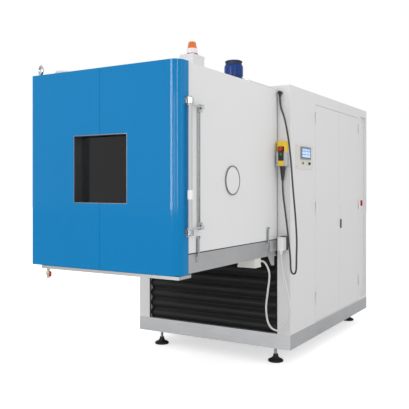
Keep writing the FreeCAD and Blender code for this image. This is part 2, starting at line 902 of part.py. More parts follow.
def clip_parts(sign, y):
    """Base with its pin, and catch, of one clip."""
    face = clip_side(sign)
    w = clip_width / 2
    pin_x, pin_z = clip_pin(sign)
    x = sorted((face, face + sign * clip_base_thick))
    base = block(x, (y - w, y + w), (floor_top + 6, pin_z + 8))
    pin = rod(clip_pin_radius, V(pin_x, y - w, pin_z), Y_AXIS, clip_width)
    for end in (y - w, y + w - 3):
        ear = block(sorted((face, pin_x + sign * 6)), (end, end + 3), (pin_z - 8, pin_z + 8))
        base = base.fuse(ear)
    base = base.fuse(pin).removeSplitter()
    hook = block(x, (y - w, y + w), (floor_top - 60, floor_top - 6))
    nose = rod(2.5, V(x[0] if sign < 0 else x[1], y - w + 4, floor_top - 12), Y_AXIS, clip_width - 8)
    return [base, hook.fuse(nose).removeSplitter()]


def toggle_bases():
    """Bases and catches of the four clips."""
    solids = []
    for sign in (-1, 1):
        for y in clip_places:
            solids += clip_parts(sign, y)
    return group(solids)


def clip_lever(sign, y):
    """The strap of one clip, bored for its pin, that reaches down over the catch."""
    w = clip_width / 2 - 3.3
    pin_x, pin_z = clip_pin(sign)
    x = sorted((pin_x - sign * 3, pin_x + sign * 3))
    body = block(x, (y - w, y + w), (floor_top - clip_reach, pin_z))
    knuckle = rod(clip_knuckle_radius, V(pin_x, y - w, pin_z), Y_AXIS, 2 * w)
    bore = rod(clip_pin_radius + running_fit, V(pin_x, y - w, pin_z), Y_AXIS, 2 * w)
    tip = block(sorted((pin_x + sign * 3, pin_x + sign * 9)), (y - w, y + w),
                (floor_top - clip_reach, floor_top - clip_reach + 4))
    return body.fuse([knuckle, tip]).cut(bore).removeSplitter()


def drip_gutter():
    """The shallow tray under the door, hung from the floor panel."""
    x = (gutter_left_x, chamber_right)
    z = (gutter_top - gutter_depth, gutter_top)
    tray = block(x, (gutter_front_y, gutter_rear_y), z)
    hollow = block((x[0] + gutter_wall, x[1] - gutter_wall), (gutter_front_y + gutter_wall, gutter_rear_y - gutter_wall),
                   (z[0] + gutter_wall, z[1]))
    hanger_x = (x[0], x[1])
    hanger = block(hanger_x, (gutter_rear_y - gutter_wall, gutter_rear_y), (gutter_top, chamber_base))
    drain = rod(drain_radius - 3, V(drain_x, drain_y, z[0]), Z_AXIS, gutter_wall)
    return tray.cut(hollow).fuse(hanger).cut(drain).removeSplitter()


def drain_valve():
    """The drain tube with its valve body."""
    top = gutter_top - gutter_depth
    tube = rod(drain_radius, V(drain_x, drain_y, drain_low), Z_AXIS, top - drain_low)
    body = rod(drain_radius + 4, V(drain_x, drain_y, valve_z - 12), Z_AXIS, 24)
    neck = rod(6.0, V(drain_x, drain_y, valve_z), X_AXIS, drain_radius + 8)
    mouth = rod(drain_radius - 3, V(drain_x, drain_y, drain_low), Z_AXIS, valve_z - 16 - drain_low)
    bore = rod(valve_stem_radius + running_fit, V(drain_x + drain_radius - 2, drain_y, valve_z), X_AXIS, 10)
    return tube.fuse([body, neck]).cut(mouth).cut(bore).removeSplitter()


def valve_handle():
    """The red quarter-turn lever."""
    x = drain_x + drain_radius + 8.5
    stem = rod(valve_stem_radius, V(x - 10, drain_y, valve_z), X_AXIS, 12)
    hub = rod(8.0, V(x, drain_y, valve_z), X_AXIS, 6)
    lever = block((x, x + 5), (drain_y - 7, drain_y + 7), (valve_z - 22, valve_z + 14))
    return hub.fuse([lever, stem]).removeSplitter()


def fan_motor():
    """The fan motor: foot flange, ribbed body, cowl shoulder and rain cap on its posts."""
    top = chamber_top
    r = motor_radius
    bore = fan_shaft_radius + running_fit
    profile = [(bore, 0), (r + 12, 0), (r + 12, 12), (r - 6, 16)]
    z = 22.0
    while z < 92:
        profile += [(r - 6, z), (r, z), (r, z + 6), (r - 6, z + 6)]
        z += 14
    profile += [(r - 6, 104), (r, 104), (r, 176), (r - 4, 190), (r - 13, 197), (0, 197), (0, 30),
                (bore, 30)]
    return spun_polygon(profile, V(motor_x, motor_y, top))


def motor_cap():
    """The motor's domed rain cap, on three posts."""
    r = motor_radius - 5
    base = 197.0
    rim = motor_height - 17
    top = motor_height
    profile = [(0, rim), (r, rim), (r, rim + 6), (r * 0.86, top - 5), (r * 0.6, top - 1), (0, top)]
    shape = spun_polygon(profile, V(motor_x, motor_y, chamber_top))
    for number in range(3):
        angle = math.radians(120 * number + 30)
        start = V(motor_x + 50 * math.cos(angle), motor_y + 50 * math.sin(angle), chamber_top + base)
        shape = shape.fuse(rod(5.0, start, Z_AXIS, rim - base))
    return shape.removeSplitter()


def fan_shaft():
    top = chamber_top + 29
    return rod(fan_shaft_radius, V(motor_x, motor_y, fan_z - 10), Z_AXIS, top - fan_z + 10)


def fan_wheel():
    """A radial wheel: two rings and the blades between them, on a hub."""
    centre = V(motor_x, motor_y, fan_z)
    hub = pipe(24.0, fan_shaft_radius, centre, Z_AXIS, fan_height)
    disc = pipe(fan_radius, 23.0, centre + V(0, 0, fan_height - 4), Z_AXIS, 4)
    ring = pipe(fan_radius, fan_radius - 24, centre, Z_AXIS, 4)
    shape = hub.fuse([disc, ring])
    for number in range(fan_blades):
        blade = block((fan_radius - 34, fan_radius - 2), (-1.5, 1.5), (2, fan_height - 2))
        blade.rotate(V(fan_radius - 34, 0, 0), Z_AXIS, 24)
        blade.rotate(V(0, 0, 0), Z_AXIS, number * 360.0 / fan_blades)
        blade.translate(centre)
        shape = shape.fuse(blade)
    return shape.removeSplitter()


def fan_rotor():
    """The fan's wheel on its shaft."""
    return fan_wheel().fuse(fan_shaft()).removeSplitter()


def beacon_box():
    """The terminal box under the beacon, flush with the chamber's side."""
    x = (chamber_right - beacon_box_width, chamber_right)
    y = (beacon_box_rear_y - beacon_box_length, beacon_box_rear_y)
    return block(x, y, (chamber_top, chamber_top + beacon_box_height - 16))


def beacon_lid():
    """The box's folded lid."""
    t = 2.0
    x = (chamber_right - beacon_box_width - t, chamber_right + t)
    y = (beacon_box_rear_y - beacon_box_length - t, beacon_box_rear_y + t)
    top = chamber_top + beacon_box_height
    return block(x, y, (top - 16, top))


def beacon_place():
    """The beacon's axis on top of the lid."""
    return V(chamber_right - beacon_box_width / 2, beacon_box_rear_y - beacon_box_length / 2,
             chamber_top + beacon_box_height)


def beacon_ring():
    return spun_polygon([(0, 0), (beacon_radius, 0), (beacon_radius, 12), (beacon_radius - 4, 14), (0, 14)],
                        beacon_place())


def beacon_base():
    r = beacon_radius - 3
    return spun_polygon([(0, 14), (r - 2, 14), (r, 17), (r, 44), (r - 2, 46), (0, 46)], beacon_place())


def beacon_lens():
    """The amber lens, slightly conical with a bevelled top."""
    r = beacon_radius - 6
    profile = [(0, 46), (r, 46), (r - 6, 78), (r - 8, 86), (r - 13, 91), (r - 20, 93), (0, 93)]
    return spun_polygon(profile, beacon_place())


def vent_cap():
    """A round pressure-relief cap on the roof."""
    r = vent_radius
    profile = [(0, 0), (r - 16, 0), (r - 16, 22), (r, 22), (r, vent_height - 8), (r - 10, vent_height), (0, vent_height)]
    return spun_polygon(profile, V(vent_x, vent_y, chamber_top))


def lifting_eye():
    """The ring bolt on the door's top above its hinges."""
    centre = V(eye_x, (door_front + door_rear) / 2, door_high + eye_ring_radius + eye_bar_radius + 6)
    ring = Part.makeTorus(eye_ring_radius, eye_bar_radius, centre, V(0.45, 1, 0))
    foot = rod(15.0, V(centre.x, centre.y, door_high), Z_AXIS, 8)
    stem = rod(9.0, V(centre.x, centre.y, door_high), Z_AXIS, 10 + eye_bar_radius)
    return ring.fuse([foot, stem]).removeSplitter()


def roof_conduit():
    """The thin pipe along the roof's right edge, with its saddles."""
    start = V(chamber_right - conduit_inset, conduit_front_y, chamber_top + conduit_radius + 1)
    length = chamber_rear - 6 - conduit_front_y
    shape = rod(conduit_radius, start, Y_AXIS, length)
    for y in (conduit_front_y + 40, chamber_rear - 120):
        saddle = block((start.x - 13, start.x + 13), (y, y + 22), (chamber_top, chamber_top + conduit_radius))
        shape = shape.fuse(saddle)
    knob = rod(8.0, V(start.x, conduit_front_y - 70, chamber_top), Z_AXIS, 14)
    return group([shape.removeSplitter(), knob])


junction_x = (492.0, 638.0)
junction_y = (-413.0, -317.0)
junction_height = 68.0
junction_lid = 14.0


def junction_box():
    """The cable junction box under the floor panel."""
    z = (chamber_base - junction_height + junction_lid, chamber_base)
    return block(junction_x, junction_y, z)


def junction_cover():
    z = chamber_base - junction_height
    return block((junction_x[0] - 2, junction_x[1] + 2), (junction_y[0] - 2, junction_y[1] + 2), (z, z + junction_lid))


def cable_gland():
    """The gland on the junction box's rear, round the chamber's cable."""
    x, y, z = chamber_cable_route[-1]
    start = V(x, y, z)
    return rod(chamber_cable_radius + 6, start, V(0, -1, 0), y - junction_y[1])


def connector_base():
    """The connector's panel housing on the post."""
    w = connector_width / 2 + 5
    return block((connector_x - w, connector_x + w), (-30, 0), (connector_low + 18, connector_high))


def connector_hood():
    """The plug hood, with its side lever and the cable's outlet below."""
    w = connector_width / 2
    body = block((connector_x - w, connector_x + w), (-102, -30), (connector_low + 18, connector_high - 6))
    body = body.makeFillet(8.0, upright_edges(body, connector_x - w, -102) + upright_edges(body, connector_x + w, -102))
    x, y, z = chamber_cable_route[0]
    outlet = rod(chamber_cable_radius + 5, V(x, y, z), Z_AXIS, connector_low + 18 - z)
    return body.fuse(outlet).removeSplitter()


# Operator panel, switches and pendant

def operator_plate():
    x = (half_width, half_width + panel_plate)
    return block(x, (panel_front_y, panel_rear_y), (panel_low, panel_high))


screen_y = (196.0, 412.0)
screen_z = (1663.0, 1769.0)
screen_depth = 8.0
panel_button_places = ((236.0, 1632.0), (368.0, 1632.0))


def screen_bezel():
    x = (half_width + panel_plate, half_width + panel_plate + screen_depth)
    return block(x, screen_y, screen_z)


def screen_glass():
    x = half_width + panel_plate + screen_depth
    margin = 16.0
    return block((x, x + 1), (screen_y[0] + margin, screen_y[1] - margin), (screen_z[0] + margin, screen_z[1] - 12))


def panel_switch_collars():
    """Collars round the push button and the selector switch."""
    x = half_width + panel_plate
    solids = [pipe(15.0, 11.4, V(x, y, z), X_AXIS, 6) for y, z in panel_button_places]
    return group(solids)


def push_button():
    y, z = panel_button_places[0]
    return rod(11.0, V(half_width + panel_plate + 3, y, z), X_AXIS, 8)


def selector_switch():
    """The selector: a round base with a raised grip."""
    y, z = panel_button_places[1]
    x = half_width + panel_plate + 0.5
    base = rod(11.0, V(x, y, z), X_AXIS, 9)
    grip = block((x + 9, x + 20), (y - 4, y + 4), (z - 11, z + 11))
    return base.fuse(grip).removeSplitter()


main_switch_y = 1893.0
main_switch_z = 1266.0
main_switch_radius = 29.0


def main_switch_plate():
    start = V(half_width - recess_deep, main_switch_y, main_switch_z)
    disc = rod(38.0, start, X_AXIS, 5)
    return disc.fuse(pipe(34.0, main_switch_radius + 0.4, start, X_AXIS, 12)).removeSplitter()


def main_switch():
    """The red rotary main switch."""
    x = half_width - recess_deep + 5.5
    base = rod(main_switch_radius, V(x, main_switch_y, main_switch_z), X_AXIS, 12)
    grip = block((x + 12, x + 28), (main_switch_y - 8, main_switch_y + 8), (main_switch_z - 28, main_switch_z + 28))
    return base.fuse(grip).removeSplitter()


def holder():
    """The folded sheet pocket that holds the pendant, open above and slotted in front."""
    w = pendant_width / 2 + 1
    t = holder_sheet
    front = -(holder_back + pendant_depth + 2)
    x = (pendant_x - w - t, pendant_x + w + t)
    z = (holder_low, holder_high)
    shape = block(x, (front - t, 0), z)
    pocket = block((pendant_x - w, pendant_x + w), (front, -t), (holder_low + 4, holder_high))
    slot = block((pendant_x - 24, pendant_x + 24), (front - t, front), (holder_low + 4, holder_high))
    floor_hole = rod(24.0, V(pendant_x, -holder_back - pendant_depth / 2, holder_low), Z_AXIS, 4)
    return shape.cut(pocket).cut(slot).cut(floor_hole)


def pendant_body():
    """The pendant's two-button case with a rounded top."""
    w = pendant_width / 2
    y = (-holder_back - pendant_depth, -holder_back)
    shape = block((pendant_x - w, pendant_x + w), y, (pendant_low, pendant_high))
    corners = []
    for x in (pendant_x - w, pendant_x + w):
        for place in y:
            corners += upright_edges(shape, x, place)
    shape = shape.makeFillet(9.0, corners)
    for z in pendant_button_heights:
        shape = shape.cut(rod(11.4, V(pendant_x, y[0], z), Y_AXIS, 8))
    stop_z = pendant_stop_height
    return shape.cut(rod(9.4, V(pendant_x, y[0], stop_z), Y_AXIS, 10))


pendant_button_heights = (1660.0, 1694.0)
pendant_stop_height = 1734.0


def pendant_button(index):
    """One lift button of the pendant."""
    front = -holder_back - pendant_depth
    return rod(11.0, V(pendant_x, front - 4, pendant_button_heights[index]), Y_AXIS, 9)


def down_button():
    return pendant_button(0)


def up_button():
    return pendant_button(1)


def stop_button():
    """The pendant's red stop button: a mushroom head on a short stem."""
    front = -holder_back - pendant_depth
    stem = rod(9.0, V(pendant_x, front - 8, pendant_stop_height), Y_AXIS, 14)
    head = Part.makeCone(14.0, 18.0, 12, V(pendant_x, front - 20, pendant_stop_height), Y_AXIS)
    return head.fuse(stem).removeSplitter()


def pendant_boot():
    """The tapered strain relief below the pendant."""
    x, y, z = pendant_cable_route[-1]
    length = pendant_low - z
    centre = V(pendant_x, -holder_back - pendant_depth / 2, pendant_low)
    top = Part.makeCone(pendant_cable_radius + 3, 22.0, length - 14, V(x, y, z), Z_AXIS)
    neck = rod(22.0, V(centre.x, centre.y, pendant_low - 14), Z_AXIS, 14)
    return top.fuse(neck).removeSplitter()


def pendant_gland():
    """The elbow gland high on the post where the pendant's cable comes out."""
    x, y, z = pendant_cable_route[0]
    level = z + 28
    body = rod(15.0, V(x, 0, level), V(0, -1, 0), 15 - y)
    neck = rod(pendant_cable_radius + 3, V(x, y, z), Z_AXIS, level - z)
    return body.fuse(neck).removeSplitter()


def cable(name, route, radius):
    """A round cable of straight runs joined by tangent arcs."""
    points = [V(*p) for p in route]
    edges = []
    start = points[0]
    tightest = 1e9
    for before, corner, after in zip(points, points[1:], points[2:]):
        into = (corner - before).normalize()
        out = (after - corner).normalize()
        half_turn = into.getAngle(out) / 2
        trim = 0.45 * min((corner - before).Length, (after - corner).Length)
        bend = trim / math.tan(half_turn)
        tightest = min(tightest, bend)
        first = corner - into * trim
        last = corner + out * trim
        towards = (out - into).normalize()
        middle = corner + towards * (bend / math.cos(half_turn) - bend)
        edges.append(Part.makeLine(start, first))
        edges.append(Part.Arc(first, middle, last).toShape())
        start = last
    edges.append(Part.makeLine(start, points[-1]))
    path = Part.Wire(edges)
    ring = Part.Wire(Part.makeCircle(radius, points[0], (points[1] - points[0]).normalize()))
    solid = path.makePipeShell([ring], True, False)
    expected = math.pi * radius * radius * path.Length
    print(name, "length", round(path.Length), "tightest bend", round(tightest),
          "volume against section times length", round(solid.Volume / expected, 4))
    return solid


def pendant_cable():
    return cable("pendant cable", pendant_cable_route, pendant_cable_radius)


def chamber_cable():
    return cable("chamber cable", chamber_cable_route, chamber_cable_radius)


BUTTON_TRAVEL = 2.5

# Each body's sub-parts, with the functions that make their solids
CABINET_NODES = {
    "base_beams": [base_beams],
    "cabinet_frame": [front_posts, head_rail, bay_lintels],
    "cabinet_panels": [left_panel, rear_panel, roof_panel, right_front_panel, right_rear_panel, leaf_hinge_fixed],
    "lift_bulkhead": [bulkhead, guide_rails],
    "guide_seals": [guide_seals],
    "control_bay": [control_bay, mounting_plate],
    "switchgear": [switchgear],
    "foot_pads": [foot_pads],
    "foot_stems": [foot_stems],
    "lift_cylinder": [lift_foot, lift_barrel, lift_gland],
    "bellows": [bellows],
    "switch_plates": [operator_plate, panel_switch_collars, main_switch_plate],
    "screen_bezel": [screen_bezel],
    "screen_glass": [screen_glass],
    "pendant_holder": [holder],
    "pendant_body": [pendant_body],
    "cable_fittings": [pendant_boot, pendant_gland, connector_base],
    "connector_hood": [connector_hood],
    "pendant_cable": [pendant_cable],
    "chamber_cable": [chamber_cable]}
CHAMBER_NODES = {
    "lift_carriage": [lift_carriage, guide_blocks],
    "lift_rod": [lift_rod],
    "chamber_walls": [left_wall, chamber_roof, rear_wall],
    "port_wall": [right_wall],
    "chamber_liner": [chamber_liner],
    "air_baffle": [air_baffle],
    "floor_panel": [floor_panel],
    "door_gasket": [door_gasket],
    "chamber_fittings": [door_hinge_fixed, strike_strip, toggle_bases],
    "port_ring": [port_ring],
    "drip_gutter": [drip_gutter],
    "drain_valve": [drain_valve],
    "fan_motor": [fan_motor, motor_cap],
    "roof_fittings": [beacon_box, beacon_lid, roof_conduit, vent_cap],
    "beacon_ring": [beacon_ring],
    "beacon_base": [beacon_base],
    "beacon_lens": [beacon_lens],
    "junction_box": [junction_box, junction_cover, cable_gland]}
DOOR_NODES = {
    "door_shell": [door_shell],
    "window_frame": [window_frame],
    "window_panes": [outer_pane, inner_pane],
    "door_fittings": [door_hinge_moving, latch_bearings, lifting_eye]}
LOCK_BAR_NODES = {
    "lock_bar": [lock_bar],
    "bar_collar": [bar_collar]}
CLIP_NODES = {
    "clip_right_front": (1, clip_places[0]),
    "clip_right_rear": (1, clip_places[1]),
    "clip_left_front": (-1, clip_places[0]),
    "clip_left_rear": (-1, clip_places[1])}
MOVING_NODES = {
    "port_plug": [port_plug],
    "fan_rotor": [fan_rotor],
    "valve_handle": [valve_handle],
    "bay_leaf_front": [bay_leaf_front, leaf_hinges_front],
    "bay_leaf_rear": [bay_leaf_rear, leaf_hinges_rear],
    "bay_handle": [bay_handle],
    "main_switch": [main_switch],
    "stop_button": [stop_button],
    "down_button": [down_button],
    "up_button": [up_button],
    "push_button": [push_button],
    "selector_switch": [selector_switch]}
CORD_NODES = ("pendant_cable", "chamber_cable")


def solids_of(shape):
    """The solids of a shape, so that groups aren't nested."""
    return shape.Solids


def all_nodes():
    """Every sub-part's shape, by name, in the working frame."""
    shapes = {}
    for table in (CABINET_NODES, CHAMBER_NODES, DOOR_NODES, LOCK_BAR_NODES, MOVING_NODES):
        for name, makers in table.items():
            solids = []
            for make in makers:
                solids += solids_of(make())
            shapes[name] = solids[0] if len(solids) == 1 else group(solids)
    for name, (sign, y) in CLIP_NODES.items():
        shapes[name] = clip_lever(sign, y)
    return shapes


def origin_shift(shapes):
    """The move that puts the middle of the machine's base, cables apart, on the origin."""
    whole = FreeCAD.BoundBox()
    for name, shape in shapes.items():
        if name not in CORD_NODES:
            whole.add(shape.BoundBox)
    return V(-(whole.XMin + whole.XMax) / 2, -(whole.YMin + whole.YMax) / 2, 0)


def main():
    os.makedirs("parts", exist_ok=True)
    shapes = all_nodes()
    shift = origin_shift(shapes)
    for name, shape in shapes.items():
        shape.translate(shift)
        if not shape.isValid():
            raise ValueError(name + " isn't a valid solid")
        shape.exportStep("parts/" + name + ".step")
    print(len(shapes), "sub-parts, moved by", round(shift.x, 2), round(shift.y, 2))


if __name__ == "__main__":
    main()
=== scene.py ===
"""Vibration test chamber: the finishes, the soft pieces and the photographer's stage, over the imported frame."""

import math

import bmesh
import bpy
import numpy as np
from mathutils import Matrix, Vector


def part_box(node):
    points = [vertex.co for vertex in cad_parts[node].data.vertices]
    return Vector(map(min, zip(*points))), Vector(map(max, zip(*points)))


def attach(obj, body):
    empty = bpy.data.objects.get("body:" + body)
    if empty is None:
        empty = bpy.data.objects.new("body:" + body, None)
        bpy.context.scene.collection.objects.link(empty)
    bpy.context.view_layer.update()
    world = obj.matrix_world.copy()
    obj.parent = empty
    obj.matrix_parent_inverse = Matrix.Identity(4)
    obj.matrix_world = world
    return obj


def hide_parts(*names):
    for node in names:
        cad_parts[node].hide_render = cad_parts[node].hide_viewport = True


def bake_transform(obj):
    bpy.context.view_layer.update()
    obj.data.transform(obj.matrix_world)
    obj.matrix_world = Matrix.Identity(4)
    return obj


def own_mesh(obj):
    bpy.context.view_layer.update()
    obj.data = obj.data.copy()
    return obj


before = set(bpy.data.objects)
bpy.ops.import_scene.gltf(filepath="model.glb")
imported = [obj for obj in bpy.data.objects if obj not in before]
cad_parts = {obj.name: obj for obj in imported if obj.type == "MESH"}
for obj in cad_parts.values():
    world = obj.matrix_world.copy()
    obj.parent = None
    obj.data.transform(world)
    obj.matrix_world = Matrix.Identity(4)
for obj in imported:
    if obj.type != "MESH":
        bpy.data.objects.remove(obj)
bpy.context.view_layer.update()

bl_info = {
    "name": "Vibration Test Chamber",
    "version": (1, 0, 0),
    "blender": (4, 5, 0),
    "location": "View3D > Sidebar > Test Chamber",
    "description": "Builds the finishes and soft pieces of a vibration test chamber",
    "category": "Object",
}


def linear(code):
    """sRGB hex such as #1a6fb4 as linear red, green and blue."""
    parts = np.array([int(code[i:i + 2], 16) for i in (1, 3, 5)]) / 255
    return tuple(np.where(parts <= 0.04045, parts / 12.92, ((parts + 0.055) / 1.055) ** 2.4))


def colour_setting(name, code, description):
    """A colour that the panel shows, with its default from sRGB hex."""
    return bpy.props.FloatVectorProperty(
        name=name, description=description, subtype="COLOR", size=3, min=0, max=1, default=linear(code))


def length_setting(name, millimetres, description):
    """A length that the panel shows, given in millimetres and kept in metres."""
    return bpy.props.FloatProperty(
        name=name, description=description, unit="LENGTH", min=0, default=millimetres / 1000)


class ChamberColours(bpy.types.PropertyGroup):
    """Colours of the paints, plastics and sheaths."""

    door: colour_setting("Door", "#0080be", "Blue enamel of the door")
    chamber: colour_setting("Chamber", "#e9e9e9", "Pale powder coat of the chamber's walls")
    cabinet: colour_setting("Cabinet", "#e4e3e4", "Light grey powder coat of the cabinet")
    motor: colour_setting("Fan motor", "#0d387c", "Dark blue enamel of the fan motor")
    carriage: colour_setting("Lift", "#b9babc", "Grey enamel of the lift's carriage")
    bellows: colour_setting("Bellows", "#0e0e0f", "Black coated sheet of the bellows")
    pendant: colour_setting("Pendant", "#f2cc12", "Yellow case of the pendant")
    signal_red: colour_setting("Red parts", "#c21f1d", "Stop button, main switch and valve lever")
    lens: colour_setting("Beacon lens", "#e06f0c", "Amber lens of the beacon")
    screen: colour_setting("Screen", "#8fb0ee", "Lit face of the operator's screen")


class ChamberSizes(bpy.types.PropertyGroup):
    """Sizes of the soft pieces and of the finishes' grain."""

    bellows_rib: length_setting("Bellows rib", 7, "How full each fold is between its valleys")
    pendant_cable: length_setting("Pendant cable", 14, "Diameter of the pendant's cable")
    chamber_cable: length_setting("Chamber cable", 15, "Diameter of the chamber's cable")
    coat_grain: length_setting("Coating grain", 5, "Orange peel of the powder coat, drawn coarse enough to show")
    brush_width: length_setting("Brush lines", 4, "Spacing of the brush lines, drawn coarse enough to show")


class StageSettings(bpy.types.PropertyGroup):
    """The camera and the lamps."""

    lens: bpy.props.FloatProperty(name="Lens", description="Focal length in millimetres on a 36 mm sensor",
                                  min=20, max=200, default=55.0)
    horizon_shift: bpy.props.FloatProperty(name="Horizon shift", description="Vertical shift of the picture",
                                           min=-0.5, max=0.5, default=-0.0428)
    dome: bpy.props.FloatProperty(name="Dome light", description="Strength of the white surroundings",
                                  min=0, max=2, default=0.74)


def settings():
    """The scene's settings, by group."""
    scene = bpy.context.scene
    return scene.chamber_colours, scene.chamber_sizes, scene.chamber_stage


# Materials

def add(tree, kind, at=(0, 0), links=(), **settings_of_node):
    """Adds a shader node, sets its properties and socket values, and links sockets into it.

    links holds (input, source node, output); a setting whose name is an input socket sets that socket.
    """
    node = tree.nodes.new(kind)
    node.location = at
    for name, value in settings_of_node.items():
        label = name.replace("_", " ")
        if label in node.inputs:
            node.inputs[label].default_value = value
        else:
            setattr(node, name, value)
    for socket, source, output in links:
        tree.links.new(source.outputs[output], node.inputs[socket])
    return node


def new_material(name):
    """An empty node material with its output."""
    material = bpy.data.materials.new(name)
    material.use_nodes = True
    tree = material.node_tree
    tree.nodes.clear()
    return material, tree, add(tree, "ShaderNodeOutputMaterial", (600, 0))


def opaque(rgb):
    """A colour with full alpha."""
    return (*rgb[:3], 1.0)


def tones(rgb, spread):
    """A darker and a lighter tone of a colour."""
    low = tuple(max(0.0, c * (1 - spread)) for c in rgb[:3])
    high = tuple(min(1.0, c * (1 + spread)) for c in rgb[:3])
    return opaque(low), opaque(high)


def worked_surface(name, rgb, roughness, metallic=0.0, coat=0.0, grain=0.005, stretch=(1, 1, 1),
                   height=0.2, tone=0.03, patch=0.35, specular=0.5):
    """A surface with a fine grain in its height and gloss and a broad, faint drift in its tone.

    grain is the real spacing of the fine pattern in metres, and stretch draws it out along an axis.
    patch is the size in metres of the broad patches left by coating, wiping and wear.
    A clear coat, where there is one, is flat over the grain.
    """
    material, tree, output = new_material(name)
    place = add(tree, "ShaderNodeTexCoord", (-900, 0))
    drawn = add(tree, "ShaderNodeMapping", (-700, 0), [("Vector", place, "Object")], Scale=stretch)
    fine = add(tree, "ShaderNodeTexNoise", (-500, 0), [("Vector", drawn, "Vector")],
               Scale=1 / grain, Detail=3.0, Roughness=0.55)
    broad = add(tree, "ShaderNodeTexNoise", (-500, -260), [("Vector", place, "Object")],
                Scale=1 / patch, Detail=2.0, Roughness=0.5)
    low, high = tones(rgb, tone)
    both = add(tree, "ShaderNodeMath", (-300, -120), [(0, fine, "Fac"), (1, broad, "Fac")], operation="ADD")
    halved = add(tree, "ShaderNodeMath", (-300, 60), [(0, both, "Value")], operation="MULTIPLY")
    halved.inputs[1].default_value = 0.5
    tint = add(tree, "ShaderNodeValToRGB", (-120, 60), [("Fac", halved, "Value")])
    tint.color_ramp.elements[0].position = 0.25
    tint.color_ramp.elements[1].position = 0.75
    tint.color_ramp.elements[0].color = low
    tint.color_ramp.elements[1].color = high
    gloss = add(tree, "ShaderNodeMapRange", (-120, -180), [("Value", fine, "Fac")])
    gloss.inputs["To Min"].default_value = max(0.02, roughness * 0.88)
    gloss.inputs["To Max"].default_value = min(1.0, roughness * 1.12)
    relief = add(tree, "ShaderNodeBump", (-120, -420), [("Height", fine, "Fac")],
                 Strength=height, Distance=grain * 0.2)
    shader = add(tree, "ShaderNodeBsdfPrincipled", (260, 0),
                 [("Base Color", tint, "Color"), ("Roughness", gloss, "Result"), ("Normal", relief, "Normal")],
                 Metallic=metallic, Coat_Weight=coat, Coat_Roughness=0.08, Coat_IOR=1.35)
    if not metallic:
        shader.inputs["Specular IOR Level"].default_value = specular
    if coat:
        flat = add(tree, "ShaderNodeNewGeometry", (-120, -640))
        tree.links.new(flat.outputs["Normal"], shader.inputs["Coat Normal"])
    tree.links.new(shader.outputs["BSDF"], output.inputs["Surface"])
    return material


def powder_coat(name, rgb, sizes):
    """Polyester powder coat: a satin skin with a slight orange peel."""
    return worked_surface(name, rgb, 0.48, grain=sizes.coat_grain, height=0.12, tone=0.012, patch=0.8)


def enamel(name, rgb):
    """Two-pack enamel on sheet steel: smooth, with a clear gloss and faint long waves."""
    return worked_surface(name, rgb, 0.5, coat=0.6, grain=0.05, height=0.01, tone=0.03, patch=0.7, specular=0.02)


def motor_enamel(name, rgb):
    """Air-dried enamel over a cast and ribbed housing: duller than the door's, with the casting's grain in it."""
    return worked_surface(name, rgb, 0.4, coat=0.2, grain=0.004, height=0.1, tone=0.05, patch=0.1, specular=0.15)


def lacquer(name, rgb):
    """Silver stove lacquer on steel tube: a soft grey sheen with hardly any grain."""
    return worked_surface(name, rgb, 0.4, grain=0.002, height=0.05, tone=0.03, patch=0.1)


def brushed_steel(name, rgb, sizes, along, roughness=0.32):
    """Steel brushed along one axis: the grain is drawn out a hundredfold that way."""
    stretch = tuple(0.01 if axis == along else 1.0 for axis in range(3))
    return worked_surface(name, rgb, roughness, metallic=1.0, grain=sizes.brush_width, stretch=stretch,
                          height=0.25, tone=0.10, patch=0.25)


def plated_steel(name, rgb, roughness=0.16):
    """Nickel or chrome plate over turned steel: bright, with slight turning marks."""
    return worked_surface(name, rgb, roughness, metallic=1.0, grain=0.003, stretch=(1, 1, 6), height=0.1, tone=0.05,
                          patch=0.06)


def zinc_plate(name, rgb):
    """Zinc-plated sheet: pale, with the soft blotches of its crystals, about 20 mm across."""
    return worked_surface(name, rgb, 0.42, metallic=1.0, grain=0.02, height=0.03, tone=0.12, patch=0.08)


def moulded_plastic(name, rgb, roughness=0.42):
    """Injection-moulded plastic with spark-eroded grain of about 1 mm."""
    return worked_surface(name, rgb, roughness, grain=0.0012, height=0.15, tone=0.03, patch=0.05)


def black_rubber(name, rgb, roughness=0.7):
    """Moulded rubber: matt, with greyer rubbed patches."""
    return worked_surface(name, rgb, roughness, grain=0.003, height=0.3, tone=0.30, patch=0.04, specular=0.35)


def cast_aluminium(name, rgb):
    """Sand-cast aluminium with a grain of about 1.5 mm."""
    return worked_surface(name, rgb, 0.45, metallic=1.0, grain=0.0015, height=0.5, tone=0.1, patch=0.05)


def safety_glass(name):
    """Coated double glazing: dark clear panes with a faint gloss, as a camera sees them against a dark inside."""
    material, tree, output = new_material(name)
    shader = add(tree, "ShaderNodeBsdfPrincipled", (260, 0), Roughness=0.03, IOR=1.4,
                 Base_Color=opaque(linear("#1f2324")), Transmission_Weight=1.0, Specular_IOR_Level=0.06)
    tree.links.new(shader.outputs["BSDF"], output.inputs["Surface"])
    return material


def amber_lens(name, rgb):
    """Moulded acrylic lens: deep amber, with upright ribs 4 mm apart that catch the light."""
    material, tree, output = new_material(name)
    place = add(tree, "ShaderNodeTexCoord", (-700, 0))
    ribs = add(tree, "ShaderNodeTexWave", (-500, 0), [("Vector", place, "Object")],
               bands_direction="DIAGONAL", Scale=1 / 0.004 / 20, Distortion=0.0)
    relief = add(tree, "ShaderNodeBump", (-200, -200), [("Height", ribs, "Fac")], Strength=0.3, Distance=0.001)
    shader = add(tree, "ShaderNodeBsdfPrincipled", (260, 0), [("Normal", relief, "Normal")], Roughness=0.15,
                 Base_Color=opaque(rgb), Transmission_Weight=0.15, Coat_Weight=0.6,
                 Emission_Color=opaque(rgb), Emission_Strength=0.12)
    tree.links.new(shader.outputs["BSDF"], output.inputs["Surface"])
    return material


